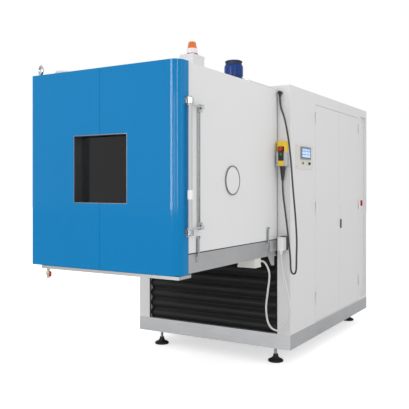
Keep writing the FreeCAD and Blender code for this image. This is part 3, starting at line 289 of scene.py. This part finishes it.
def lit_screen(name, rgb):
    """A backlit panel: three rows of three pale blocks, in two tones of blue, on a darker ground."""
    material, tree, output = new_material(name)
    place = add(tree, "ShaderNodeTexCoord", (-900, 0))
    low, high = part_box("screen_glass")
    drawn = add(tree, "ShaderNodeMapping", (-700, 0), [("Vector", place, "Object")],
                Location=(0, -low[1], -low[2]))
    turned = add(tree, "ShaderNodeSeparateXYZ", (-560, 0), [("Vector", drawn, "Vector")])
    flat = add(tree, "ShaderNodeCombineXYZ", (-420, 0), [("X", turned, "Y"), ("Y", turned, "Z")])
    blocks = add(tree, "ShaderNodeTexBrick", (-240, 0), [("Vector", flat, "Vector")], offset=0.0,
                 Scale=1.0, Mortar_Size=0.004, Brick_Width=(high[1] - low[1]) / 3,
                 Row_Height=(high[2] - low[2]) / 3,
                 Color1=opaque(tuple(min(1.0, c * 1.5 + 0.1) for c in rgb)),
                 Color2=opaque(tuple(min(1.0, c * 1.1) for c in rgb)),
                 Mortar=opaque(tuple(c * 0.75 for c in rgb)))
    shader = add(tree, "ShaderNodeBsdfPrincipled", (260, 0),
                 [("Base Color", blocks, "Color"), ("Emission Color", blocks, "Color")],
                 Roughness=0.18, Emission_Strength=0.25)
    tree.links.new(shader.outputs["BSDF"], output.inputs["Surface"])
    return material


def cable_sheath(name, rgb, roughness):
    """Extruded cable sheath: satin, with faint rings from its lay every 6 mm."""
    return worked_surface(name, rgb, roughness, grain=0.006, height=0.08, tone=0.06, patch=0.12)


# Where each finish goes, by node of the frame

def finishes(colours, sizes):
    """Every CAD node's material, made once and shared by the nodes that have it."""
    chrome = plated_steel("satin chrome plate", linear("#b3b5b7"))
    table = (
        (powder_coat("powder coat, light grey", colours.cabinet, sizes),
         ("cabinet_frame", "cabinet_panels", "roof_fittings", "bay_leaf_front", "bay_leaf_rear")),
        (powder_coat("powder coat, pale grey", colours.chamber, sizes),
         ("chamber_walls", "port_wall", "port_plug")),
        (enamel("door enamel, blue", colours.door), ("door_shell",)),
        (enamel("carriage enamel", colours.carriage), ("lift_carriage",)),
        (enamel("grey enamel", linear("#55585c")), ("lift_cylinder",)),
        (motor_enamel("motor enamel, dark blue", colours.motor), ("fan_motor",)),
        (lacquer("silver lacquer on tube", linear("#c3c4c6")), ("lock_bar",)),
        (brushed_steel("brushed steel, clear coated", linear("#b9babc"), sizes, along=0, roughness=0.5),
         ("base_beams",)),
        (brushed_steel("brushed stainless steel", linear("#b9babb"), sizes, along=1),
         ("pendant_holder", "floor_panel", "drip_gutter")),
        (brushed_steel("brushed stainless lining", linear("#a9aaab"), sizes, along=2, roughness=0.38),
         ("chamber_liner", "air_baffle")),
        # The window frame's stainless is darkened to stand in for the shade inside the window's reveal: painted shade
        (brushed_steel("window frame steel with painted shade", linear("#7b7d80"), sizes, along=2, roughness=0.35),
         ("window_frame",)),
        # The port ring is a darker grey than its stainless so that it shows the shade round its proud edge: painted
        # shade
        (brushed_steel("port ring steel with painted shade", linear("#86888b"), sizes, along=1, roughness=0.4),
         ("port_ring",)),
        (chrome, ("lift_rod", "chamber_fittings", "door_fittings")),
        (chrome, ("clip_right_front", "clip_right_rear", "clip_left_front", "clip_left_rear")),
        (plated_steel("zinc plated screw", linear("#a3a4a6"), 0.3), ("foot_stems",)),
        (plated_steel("nickel plated brass", linear("#b9b39c"), 0.25), ("drain_valve",)),
        (zinc_plate("zinc plated sheet", linear("#b7babd")), ("lift_bulkhead", "control_bay")),
        (cast_aluminium("cast aluminium", linear("#a9abad")), ("fan_rotor",)),
        (black_rubber("moulded black rubber", linear("#1d1d1e")), ("guide_seals", "foot_pads")),
        (black_rubber("grey silicone seal", linear("#3a3b3d"), 0.6), ("door_gasket",)),
        (moulded_plastic("black polyamide", linear("#1e1f20")),
         ("cable_fittings", "bay_handle", "down_button", "selector_switch")),
        (moulded_plastic("grey polyamide of the switchgear", linear("#5b5e62")), ("switchgear",)),
        (moulded_plastic("light grey polycarbonate", linear("#dedcd6"), 0.38),
         ("switch_plates", "junction_box")),
        (moulded_plastic("white polycarbonate", linear("#efefee"), 0.3),
         ("connector_hood", "beacon_base", "bar_collar")),
        (moulded_plastic("red ABS", colours.signal_red, 0.3),
         ("beacon_ring", "valve_handle", "main_switch", "stop_button")),
        (moulded_plastic("green ABS", linear("#1c7a3a"), 0.3), ("up_button",)),
        (moulded_plastic("amber push button", linear("#7a5526"), 0.3), ("push_button",)),
        (moulded_plastic("yellow ABS", colours.pendant, 0.35), ("pendant_body",)),
        (moulded_plastic("grey screen bezel", linear("#8d8f93"), 0.35), ("screen_bezel",)),
        (lit_screen("lit screen", colours.screen), ("screen_glass",)),
        (amber_lens("amber acrylic", colours.lens), ("beacon_lens",)),
        (safety_glass("coated safety glass"), ("window_panes",)))
    return {node: material for material, nodes in table for node in nodes}


def dress(node, material):
    """Gives one material to all of a CAD node's slots."""
    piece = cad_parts[node]
    if not piece.material_slots:
        piece.data.materials.append(material)
    for place in piece.material_slots:
        place.material = material


# Surfaces

def grid_faces(rows, columns, closed):
    """Quads of a grid of points counted row by row; closed joins each row's end to its start."""
    across = columns if closed else columns - 1
    row, column = np.meshgrid(np.arange(rows - 1), np.arange(across), indexing="ij")
    following = (column + 1) % columns
    return np.stack([row * columns + column, row * columns + following,
                     (row + 1) * columns + following, (row + 1) * columns + column], axis=-1).reshape(-1, 4)


def torus_faces(rings, sides):
    """Quads between closed outlines that stand in a closed row, as on a torus."""
    ring, side = np.meshgrid(np.arange(rings), np.arange(sides), indexing="ij")
    following, beside = (ring + 1) % rings, (side + 1) % sides
    return np.stack([ring * sides + side, ring * sides + beside, following * sides + beside,
                     following * sides + side], axis=-1).reshape(-1, 4).tolist()


def mesh_piece(name, points, faces, material, smooth=True):
    """A mesh object at the origin from whole arrays of points and faces."""
    mesh = bpy.data.meshes.new(name)
    mesh.from_pydata(np.asarray(points, float).reshape(-1, 3).tolist(), [], [list(map(int, f)) for f in faces])
    mesh.polygons.foreach_set("use_smooth", np.full(len(mesh.polygons), smooth))
    mesh.materials.append(material)
    mesh.validate()
    piece = bpy.data.objects.new(name, mesh)
    bpy.context.scene.collection.objects.link(piece)
    return piece


def faces_outward(piece):
    """Recalculates a closed mesh's normals so that they point out of it."""
    work = bmesh.new()
    work.from_mesh(piece.data)
    bmesh.ops.recalc_face_normals(work, faces=work.faces)
    work.to_mesh(piece.data)
    work.free()
    return piece


def pleated_sheet(low, high, folds, skin, rib, samples=24, columns=33, ripple=0.09):
    """Points of a pleated sheet that fills a box, and its faces.

    Its front follows one minus a power of the absolute sine of the height, one half wave for each fold, so
    crests are round and valleys sharp. The power is one plus rib over depth. The back is the same line one
    skin further in. The outline is carried across the width, and a cosine of the height, of a fifteenth of
    the depth and with the pitch of ripple, is added to it and fades by a half sine to nothing at the ends.
    """
    depth = high[1] - low[1] - skin
    height = np.linspace(0, 1, folds * samples + 1)
    wave = np.abs(np.sin(math.pi * folds * height))
    crest = 1 - wave ** (1 + rib / depth)
    front = low[1] + depth * (0.02 + 0.96 * crest)
    level = low[2] + (high[2] - low[2]) * height
    outline_y = np.concatenate([front, front[::-1] + skin])
    outline_z = np.concatenate([level, level[::-1]])
    across = np.linspace(0, 1, columns)
    sag = depth / 15 * np.sin(math.pi * across)[:, None] * np.cos(2 * math.pi * outline_z / ripple)[None, :]
    x = np.repeat((low[0] + (high[0] - low[0]) * across)[:, None], outline_y.size, axis=1)
    y = np.clip(outline_y[None, :] + sag, low[1], high[1])
    z = np.repeat(outline_z[None, :], columns, axis=0)
    count = outline_y.size
    faces = grid_faces(columns, count, closed=True).tolist()
    half = np.arange(count // 2 - 1)
    first = np.stack([half, half + 1, count - 2 - half, count - 1 - half], axis=-1)
    last = first[:, ::-1] + (columns - 1) * count
    return np.stack([x, y, z], axis=-1), faces + first.tolist() + last.tolist()


def superellipse(half_width, half_height, power, sides):
    """Points of |x/a|^n + |y/b|^n = 1, evenly spaced in angle; n of 2 is an ellipse, and more is squarer."""
    angle = np.linspace(0, 2 * math.pi, sides, endpoint=False)
    cosine, sine = np.cos(angle), np.sin(angle)
    across = half_width * np.sign(cosine) * np.abs(cosine) ** (2 / power)
    up = half_height * np.sign(sine) * np.abs(sine) ** (2 / power)
    return np.stack([across, up], axis=-1)


def ring_plate(centre, right, hole, outline, depth, sides=64):
    """A flat plate with a hole, standing upright: right is its own width's direction, and it faces right x up.

    hole and outline are (half width, half height, power) of superellipses. The section goes from the hole's
    foot up its wall, across the face to a rim rounded by a fifth of the depth, and down the outer wall.
    """
    inner = superellipse(*hole, sides)
    outer = superellipse(*outline, sides)
    lip = depth / 5
    shrunk = superellipse(outline[0] - lip, outline[1] - lip, outline[2], sides)
    rings = [(inner, 0.0), (inner, depth), (shrunk, depth), (outer, depth - lip), (outer, 0.0)]
    right = np.asarray(right, float)
    front = np.cross(right, (0, 0, 1))
    points = np.stack([np.asarray(centre) + flat[:, :1] * right + flat[:, 1:] * np.array([0, 0, 1]) + front * out
                       for flat, out in rings])
    return points, torus_faces(len(rings), sides)


def dome_heads(centres, radius, height, sides=20, rings=6):
    """Round screw heads facing +X: each is a cap whose height is a quarter ellipse of its radius."""
    angle = np.linspace(0, 2 * math.pi, sides, endpoint=False)[None, :]
    turn = np.linspace(0, math.pi / 2 * 0.98, rings)[:, None]
    y = radius * np.cos(turn) * np.cos(angle)
    z = radius * np.cos(turn) * np.sin(angle)
    x = np.repeat(height * np.sin(turn), sides, axis=1)
    cap = np.stack([x, y, z], axis=-1).reshape(-1, 3)
    cap = np.concatenate([cap, [[height, 0, 0], [0, 0, 0]]])
    faces = grid_faces(rings, sides, closed=True)
    edge = np.arange(sides)
    top = (rings - 1) * sides
    tip = np.stack([top + edge, top + (edge + 1) % sides, np.full(sides, rings * sides)], axis=-1)
    base = np.stack([(edge + 1) % sides, edge, np.full(sides, rings * sides + 1)], axis=-1)
    one = faces.tolist() + tip.tolist() + base.tolist()
    points = np.concatenate([cap + np.asarray(centre) for centre in centres])
    return points, [[i + number * len(cap) for i in face] for number in range(len(centres)) for face in one]


# Routes of the two cables, from the frame's own solids

PENDANT_ROUTE = (
    (0.6518, -0.3235, 2.1600), (0.6518, -0.3235, 2.0850), (0.6977, -0.3415, 1.9950),
    (0.7468, -0.3695, 1.8150), (0.7788, -0.3935, 1.6200), (0.7987, -0.4055, 1.4200),
    (0.8227, -0.4135, 1.2150), (0.8377, -0.4195, 1.0200), (0.8347, -0.4225, 0.8900),
    (0.8347, -0.4255, 0.7620), (0.7618, -0.3645, 0.7580), (0.7608, -0.3645, 0.8800),
    (0.7368, -0.3595, 1.0650), (0.7087, -0.3515, 1.2550), (0.6807, -0.3355, 1.4000),
    (0.6807, -0.3355, 1.4860))
CHAMBER_ROUTE = (
    (0.6867, -0.3795, 0.9060), (0.6867, -0.3795, 0.8300), (0.7268, -0.3915, 0.6900),
    (0.7708, -0.4015, 0.5400), (0.7768, -0.4075, 0.4050), (0.7127, -0.4145, 0.3000),
    (0.6048, -0.4235, 0.3180), (0.5767, -0.4355, 0.4600), (0.6048, -0.4495, 0.6200),
    (0.6248, -0.4535, 0.7500), (0.6088, -0.4635, 0.8120), (0.5887, -0.4975, 0.8620),
    (0.5887, -0.5635, 0.8620))


def route_curve(name, route, radius, material):
    """A smooth cable: a quadratic NURBS line with the route as its control points, given a round section."""
    curve = bpy.data.curves.new(name, "CURVE")
    curve.dimensions = "3D"
    curve.resolution_u = 10
    curve.bevel_depth = radius
    curve.bevel_resolution = 5
    curve.use_fill_caps = True
    line = curve.splines.new("NURBS")
    line.points.add(len(route) - 1)
    line.points.foreach_set("co", np.column_stack([np.array(route), np.ones(len(route))]).ravel())
    line.order_u = 3
    line.use_endpoint_u = True
    curve.materials.append(material)
    piece = bpy.data.objects.new(name, curve)
    bpy.context.scene.collection.objects.link(piece)
    return piece


def centreline(piece):
    """Points along a cable's own line, read from its curve with the section taken off."""
    curve = piece.data.copy()
    curve.bevel_depth = 0
    bare = bpy.data.objects.new("bare line", curve)
    bpy.context.scene.collection.objects.link(bare)
    bpy.context.view_layer.update()
    mesh = bpy.data.meshes.new_from_object(bare.evaluated_get(bpy.context.evaluated_depsgraph_get()))
    points = np.empty(len(mesh.vertices) * 3)
    mesh.vertices.foreach_get("co", points)
    bpy.data.objects.remove(bare)
    return points.reshape(-1, 3)


def line_length(points):
    """The length of a line through points, in metres."""
    return float(np.linalg.norm(np.diff(points, axis=0), axis=1).sum())


def as_mesh(piece):
    """The same cable as a mesh object, with its material."""
    bpy.context.view_layer.update()
    mesh = bpy.data.meshes.new_from_object(piece.evaluated_get(bpy.context.evaluated_depsgraph_get()))
    made = bpy.data.objects.new(piece.name + "_tube", mesh)
    bpy.context.scene.collection.objects.link(made)
    bpy.data.objects.remove(piece)
    return made


# Pieces

# The operator plate's edges, from part.py: it shares its node with the main switch's plate
PANEL_SIDES = (-0.1915, 0.1735)
PANEL_LEVELS = (1.583, 1.787)
PANEL_SCREW_INSET = 0.018

# The screen's rim laps over the glass by the first and reaches past it by the second
RIM_LAP = 0.001
RIM_BORDER = 0.005

# Each plate of the pendant's front: the button it goes round, its hole's radius and half its height
PENDANT_PLATES = (("down_button", 0.0114, 0.0168), ("up_button", 0.0114, 0.0168), ("stop_button", 0.0096, 0.0225))
PENDANT_BORDER = 0.008
PLATE_THICK = 0.0016
PLATE_SUNK = 0.0004

# The motor's foot flange stands out this far past its body, and the grille's edges lie this far under its top
MOTOR_FLANGE = 0.012
GRILLE_DROPS = (0.0365, 0.016)

BELLOWS_FOLDS = 7
BELLOWS_SKIN = 0.006
FLOOR_SEAL_RADIUS = 0.0035


def make_bellows(colours, sizes):
    """The pleated black sheet below the carriage, fixed to the cabinet; it is not made to squash as the chamber comes
    down.
    """
    low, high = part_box("bellows")
    sheet = black_rubber("coated bellows sheet", colours.bellows, 0.62)
    points, faces = pleated_sheet(low, high, BELLOWS_FOLDS, BELLOWS_SKIN, sizes.bellows_rib)
    piece = faces_outward(mesh_piece("bellows_sheet", points, faces, sheet))
    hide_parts("bellows")
    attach(piece, "cabinet")
    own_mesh(piece)
    return piece


def make_pendant_cable(sizes):
    """The dark cable that hangs from the top of the post down the side and up to the pendant."""
    sheath = cable_sheath("black rubber cable sheath", linear("#2b2c2d"), 0.45)
    piece = route_curve("pendant_line", PENDANT_ROUTE, sizes.pendant_cable / 2, sheath)
    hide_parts("pendant_cable")
    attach(piece, "cabinet")
    line_length(centreline(piece))
    return piece


def make_chamber_cable(sizes):
    """The white cable that hangs in a loop between the cabinet and the chamber; the chamber lifts one end of it, but
    this piece is fixed in place and does not follow.
    """
    sheath = cable_sheath("white PVC cable sheath", linear("#d9d9d8"), 0.4)
    line = route_curve("chamber_line", CHAMBER_ROUTE, sizes.chamber_cable / 2, sheath)
    path = centreline(line)
    piece = as_mesh(line)
    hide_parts("chamber_cable")
    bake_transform(piece)
    return piece


def middle(node):
    """The centre of a CAD node's box, and half its sides."""
    low, high = (np.array(corner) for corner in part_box(node))
    return (low + high) / 2, (high - low) / 2


def joined(name, parts, material, smooth=False):
    """One mesh object of several surfaces, each given as points and faces."""
    points, faces, count = [], [], 0
    for some, their in parts:
        some = np.asarray(some, float).reshape(-1, 3)
        points.append(some)
        faces += [[count + i for i in face] for face in their]
        count += len(some)
    return faces_outward(mesh_piece(name, np.concatenate(points), faces, material, smooth))


def make_pendant_face():
    """The black front of the pendant, in three plates round its buttons."""
    black = moulded_plastic("black polyamide face", linear("#19191a"), 0.4)
    case, half = middle("pendant_body")
    front = case[1] - half[1]
    parts = []
    for button, hole, height in PENDANT_PLATES:
        place = middle(button)[0]
        parts.append(ring_plate((place[0], front + PLATE_SUNK, place[2]), (1, 0, 0), (hole, hole, 2),
                                (half[0] - PENDANT_BORDER, height, 9), PLATE_THICK))
    piece = joined("pendant_face", parts, black)
    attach(piece, "cabinet")
    return piece


def bead(start, end, radius, outward, sides=12):
    """A half-round strip from start to end: a semicircle of the radius carried straight, closed by its flat back."""
    start, end, outward = (np.asarray(v, float) for v in (start, end, outward))
    along = (end - start) / np.linalg.norm(end - start)
    up = np.cross(along, outward)
    turn = np.linspace(-math.pi / 2, math.pi / 2, sides)
    section = radius * (np.sin(turn)[:, None] * up + np.cos(turn)[:, None] * outward)
    ends = np.stack([start + section, end + section])
    caps = [list(range(sides))[::-1], list(range(sides, 2 * sides))]
    return ends, grid_faces(2, sides, closed=True).tolist() + caps


def make_floor_seals():
    """The black rubber beads where the side walls stand on the removable floor panel."""
    rubber = black_rubber("black floor seal", linear("#1c1c1d"))
    low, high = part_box("port_wall")
    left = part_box("chamber_walls")[0][0]
    parts = []
    for x, way in ((high[0] - 0.001, 1), (left + 0.001, -1)):
        parts.append(bead((x, low[1] + 0.002, low[2]), (x, high[1] - 0.002, low[2]),
                          FLOOR_SEAL_RADIUS, (way, 0, 0)))
    piece = joined("floor_seals", parts, rubber, smooth=True)
    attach(piece, "chamber")
    return piece


def make_motor_grille(sides=72):
    """The black band under the motor's rain cap: a rectangular section turned about the motor's axis."""
    black = moulded_plastic("black grille", linear("#111214"), 0.6)
    place, half = middle("fan_motor")
    top = place[2] + half[2]
    outer, inner = (share * (half[0] - MOTOR_FLANGE) for share in (0.86, 0.8))
    foot, head = (top - drop for drop in GRILLE_DROPS)
    angle = np.linspace(0, 2 * math.pi, sides, endpoint=False)[None, :]
    radius = np.array([outer, outer, inner, inner])[:, None]
    level = np.array([foot, head, head, foot])[:, None]
    points = np.stack([place[0] + radius * np.cos(angle), place[1] + radius * np.sin(angle),
                       np.repeat(level, sides, axis=1)], axis=-1)
    piece = joined("motor_grille", [(points, torus_faces(len(level), sides))], black)
    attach(piece, "chamber")
    return piece


def make_panel_details():
    """The operator panel's screen rim and its four screws."""
    black = moulded_plastic("black screen rim", linear("#2a2b2d"), 0.35)
    steel = plated_steel("nickel plated screw heads", linear("#bcbdbf"), 0.25)
    glass, half = middle("screen_glass")
    rim = ring_plate((glass[0] - half[0] + 0.0001, glass[1], glass[2]), (0, 1, 0),
                     (half[1] - RIM_LAP, half[2] - RIM_LAP, 12), (half[1] + RIM_BORDER, half[2] + RIM_BORDER, 12),
                     PLATE_THICK)
    frame_piece = joined("screen_rim", [rim], black)
    plate, plate_half = middle("screen_bezel")
    face = plate[0] - plate_half[0] - 0.0002
    inset = PANEL_SCREW_INSET
    ends = [(face, y, z) for y in (PANEL_SIDES[0] + inset, PANEL_SIDES[1] - inset)
            for z in (PANEL_LEVELS[0] + inset, PANEL_LEVELS[1] - inset)]
    points, faces = dome_heads(ends, radius=0.005, height=0.0024)
    screws = faces_outward(mesh_piece("panel_screws", points, faces, steel))
    for piece, slot in ((frame_piece, "black_plastic"), (screws, "zinc_plate")):
        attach(piece, "cabinet")
    return frame_piece, screws


# Stage

# The camera stands level at the photographer's eye height, and its turn is in degrees round the vertical
PHOTO_CAMERA = (2.70755, -4.9153, 1.435)
CAMERA_TURN = 31
FLOOR_LEVEL = 0.0
FLOOR_REACH = 30.0
# The two strips are placed so that the door's rounded edge shows them to the camera as upright glints
DOOR_CORNER = (0.62, -1.77, 2.3)
# Each lamp's name, place, aim, width, height, watts, and whether it lights and is mirrored
LAMPS = (
    ("soft box left", (-2.6, -3.6, 3.4), (0, 0, 1.1), 2.0, 2.6, 24, True, False),
    ("soft box right", (4.2, -0.6, 2.6), (0.2, 0, 1.0), 1.6, 2.8, 12, True, True),
    ("strip left", (-0.9, -6.5, 2.3), DOOR_CORNER, 1.7, 2.4, 200, False, True),
    ("strip right", (4.5, -4.9, 2.3), DOOR_CORNER, 0.9, 2.4, 80, False, True),
    ("fill by the camera", (1.9, -6.2, 1.9), (0.3, 0, 1.1), 1.6, 1.6, 38, True, True),
    ("overhead", (0.4, -0.8, 4.6), (0, 0, 1.0), 3.0, 2.4, 20, True, True))


def area_lamp(name, at, towards, width, height, watts, lights, mirrored):
    """A rectangular soft box at one place, turned to face another, which may only light or only be mirrored."""
    lamp = bpy.data.lights.new(name, "AREA")
    lamp.shape = "RECTANGLE"
    lamp.size = width
    lamp.size_y = height
    lamp.energy = watts
    thing = bpy.data.objects.new(name, lamp)
    thing.location = at
    thing.visible_camera = False
    thing.visible_diffuse = lights
    thing.visible_glossy = mirrored
    thing.rotation_euler = (Vector(towards) - Vector(at)).to_track_quat("-Z", "Y").to_euler()
    bpy.context.scene.collection.objects.link(thing)
    return thing


def white_surroundings(strength):
    """A world that lights by its strength and is plain white where the camera looks at it."""
    world = bpy.data.worlds.new("studio")
    world.use_nodes = True
    tree = world.node_tree
    tree.nodes.clear()
    output = add(tree, "ShaderNodeOutputWorld", (600, 0))
    ray = add(tree, "ShaderNodeLightPath", (-400, 200))
    clear = add(tree, "ShaderNodeMath", (-400, 0), [(0, ray, "Is Glossy Ray"), (1, ray, "Is Transmission Ray")],
                operation="MAXIMUM")
    mirror = add(tree, "ShaderNodeMath", (-200, 200), [(0, ray, "Is Camera Ray"), (1, clear, "Value")],
                 operation="MAXIMUM")
    dome = add(tree, "ShaderNodeBackground", (0, -100), Color=(1, 1, 1, 1), Strength=strength)
    seen = add(tree, "ShaderNodeBackground", (0, 100), Color=(1, 1, 1, 1), Strength=1.0)
    mixed = add(tree, "ShaderNodeMixShader", (300, 0),
                [(0, mirror, "Value"), (1, dome, "Background"), (2, seen, "Background")])
    tree.links.new(mixed.outputs["Shader"], output.inputs["Surface"])
    bpy.context.scene.world = world


def make_floor():
    """A broad pale floor, which the camera sees as white and shadows still darken."""
    material, tree, output = new_material("studio floor")
    ray = add(tree, "ShaderNodeLightPath", (-400, 200))
    lit = add(tree, "ShaderNodeBsdfDiffuse", (-100, 0), Color=(0.9, 0.9, 0.9, 1))
    lift = add(tree, "ShaderNodeEmission", (-100, -160), Color=(1, 1, 1, 1), Strength=0.6)
    both = add(tree, "ShaderNodeAddShader", (120, -100), [(0, lit, "BSDF"), (1, lift, "Emission")])
    seen = add(tree, "ShaderNodeMixShader", (340, 0), [(0, ray, "Is Camera Ray"), (1, lit, "BSDF"),
                                                       (2, both, "Shader")])
    tree.links.new(seen.outputs["Shader"], output.inputs["Surface"])
    points = [(x * FLOOR_REACH, y * FLOOR_REACH, FLOOR_LEVEL) for x, y in ((-1, -1), (1, -1), (1, 1), (-1, 1))]
    floor = mesh_piece("studio_floor", points, [(0, 1, 2, 3)], material, smooth=False)
    return floor


def set_stage(stage):
    """The photographer's camera, floor, surroundings and soft boxes."""
    lens = bpy.data.cameras.new("camera")
    lens.lens = stage.lens
    lens.sensor_width = 36
    lens.shift_y = stage.horizon_shift
    lens.dof.use_dof = False
    camera = bpy.data.objects.new("camera", lens)
    camera.location = PHOTO_CAMERA
    camera.rotation_euler = (math.radians(90), 0, math.radians(CAMERA_TURN))
    bpy.context.scene.collection.objects.link(camera)
    bpy.context.scene.camera = camera
    bpy.context.scene.view_settings.view_transform = "Standard"
    white_surroundings(stage.dome)
    make_floor()
    for lamp in LAMPS:
        area_lamp(*lamp)


# Operators and panel

class StageOperator(bpy.types.Operator):
    """Sets the camera, the floor, the surroundings and the lamps"""

    bl_idname = "test_chamber.stage"
    bl_label = "Stage"

    def execute(self, context):
        set_stage(settings()[2])
        return {"FINISHED"}


class FinishOperator(bpy.types.Operator):
    """Gives every solid of the frame its own finish"""

    bl_idname = "test_chamber.finishes"
    bl_label = "Finishes of the solids"

    def execute(self, context):
        colours, sizes, _stage = settings()
        given = finishes(colours, sizes)
        for node, material in given.items():
            dress(node, material)
        left = set(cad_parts) - set(given) - {"bellows", "pendant_cable", "chamber_cable"}
        if left:
            raise RuntimeError("nodes with no finish: " + ", ".join(sorted(left)))
        return {"FINISHED"}


class BellowsOperator(bpy.types.Operator):
    """Makes the pleated bellows below the carriage"""

    bl_idname = "test_chamber.bellows"
    bl_label = "Bellows"

    def execute(self, context):
        colours, sizes, _stage = settings()
        make_bellows(colours, sizes)
        return {"FINISHED"}


class CableOperator(bpy.types.Operator):
    """Makes the pendant's cable and the chamber's cable"""

    bl_idname = "test_chamber.cables"
    bl_label = "Cables"

    def execute(self, context):
        sizes = settings()[1]
        make_pendant_cable(sizes)
        make_chamber_cable(sizes)
        return {"FINISHED"}


class DetailOperator(bpy.types.Operator):
    """Makes the pendant's black front, the floor seals, the motor's grille, the screen's rim and the panel's screws"""

    bl_idname = "test_chamber.details"
    bl_label = "Small fittings"

    def execute(self, context):
        make_pendant_face()
        make_floor_seals()
        make_motor_grille()
        make_panel_details()
        return {"FINISHED"}


OPERATORS = (StageOperator, CableOperator, FinishOperator, BellowsOperator, DetailOperator)


class ChamberPanel(bpy.types.Panel):
    """Lists the settings and the pieces of the test chamber"""

    bl_idname = "VIEW3D_PT_test_chamber"
    bl_label = "Test Chamber"
    bl_space_type = "VIEW_3D"
    bl_region_type = "UI"
    bl_category = "Test Chamber"

    def draw(self, context):
        column = self.layout.column()
        for group in settings():
            for name in group.__annotations__:
                column.prop(group, name)
        for operator in OPERATORS:
            column.operator(operator.bl_idname)


CLASSES = (ChamberColours, ChamberSizes, StageSettings, *OPERATORS, ChamberPanel)


def register():
    for kind in CLASSES:
        bpy.utils.register_class(kind)
    bpy.types.Scene.chamber_colours = bpy.props.PointerProperty(type=ChamberColours)
    bpy.types.Scene.chamber_sizes = bpy.props.PointerProperty(type=ChamberSizes)
    bpy.types.Scene.chamber_stage = bpy.props.PointerProperty(type=StageSettings)


def unregister():
    del bpy.types.Scene.chamber_stage
    del bpy.types.Scene.chamber_sizes
    del bpy.types.Scene.chamber_colours
    for kind in reversed(CLASSES):
        bpy.utils.unregister_class(kind)


def main():
    """Makes every piece in order."""
    register()
    for operator in OPERATORS:
        group, name = operator.bl_idname.split(".")
        getattr(getattr(bpy.ops, group), name)()


if __name__ == "__main__":
    main()
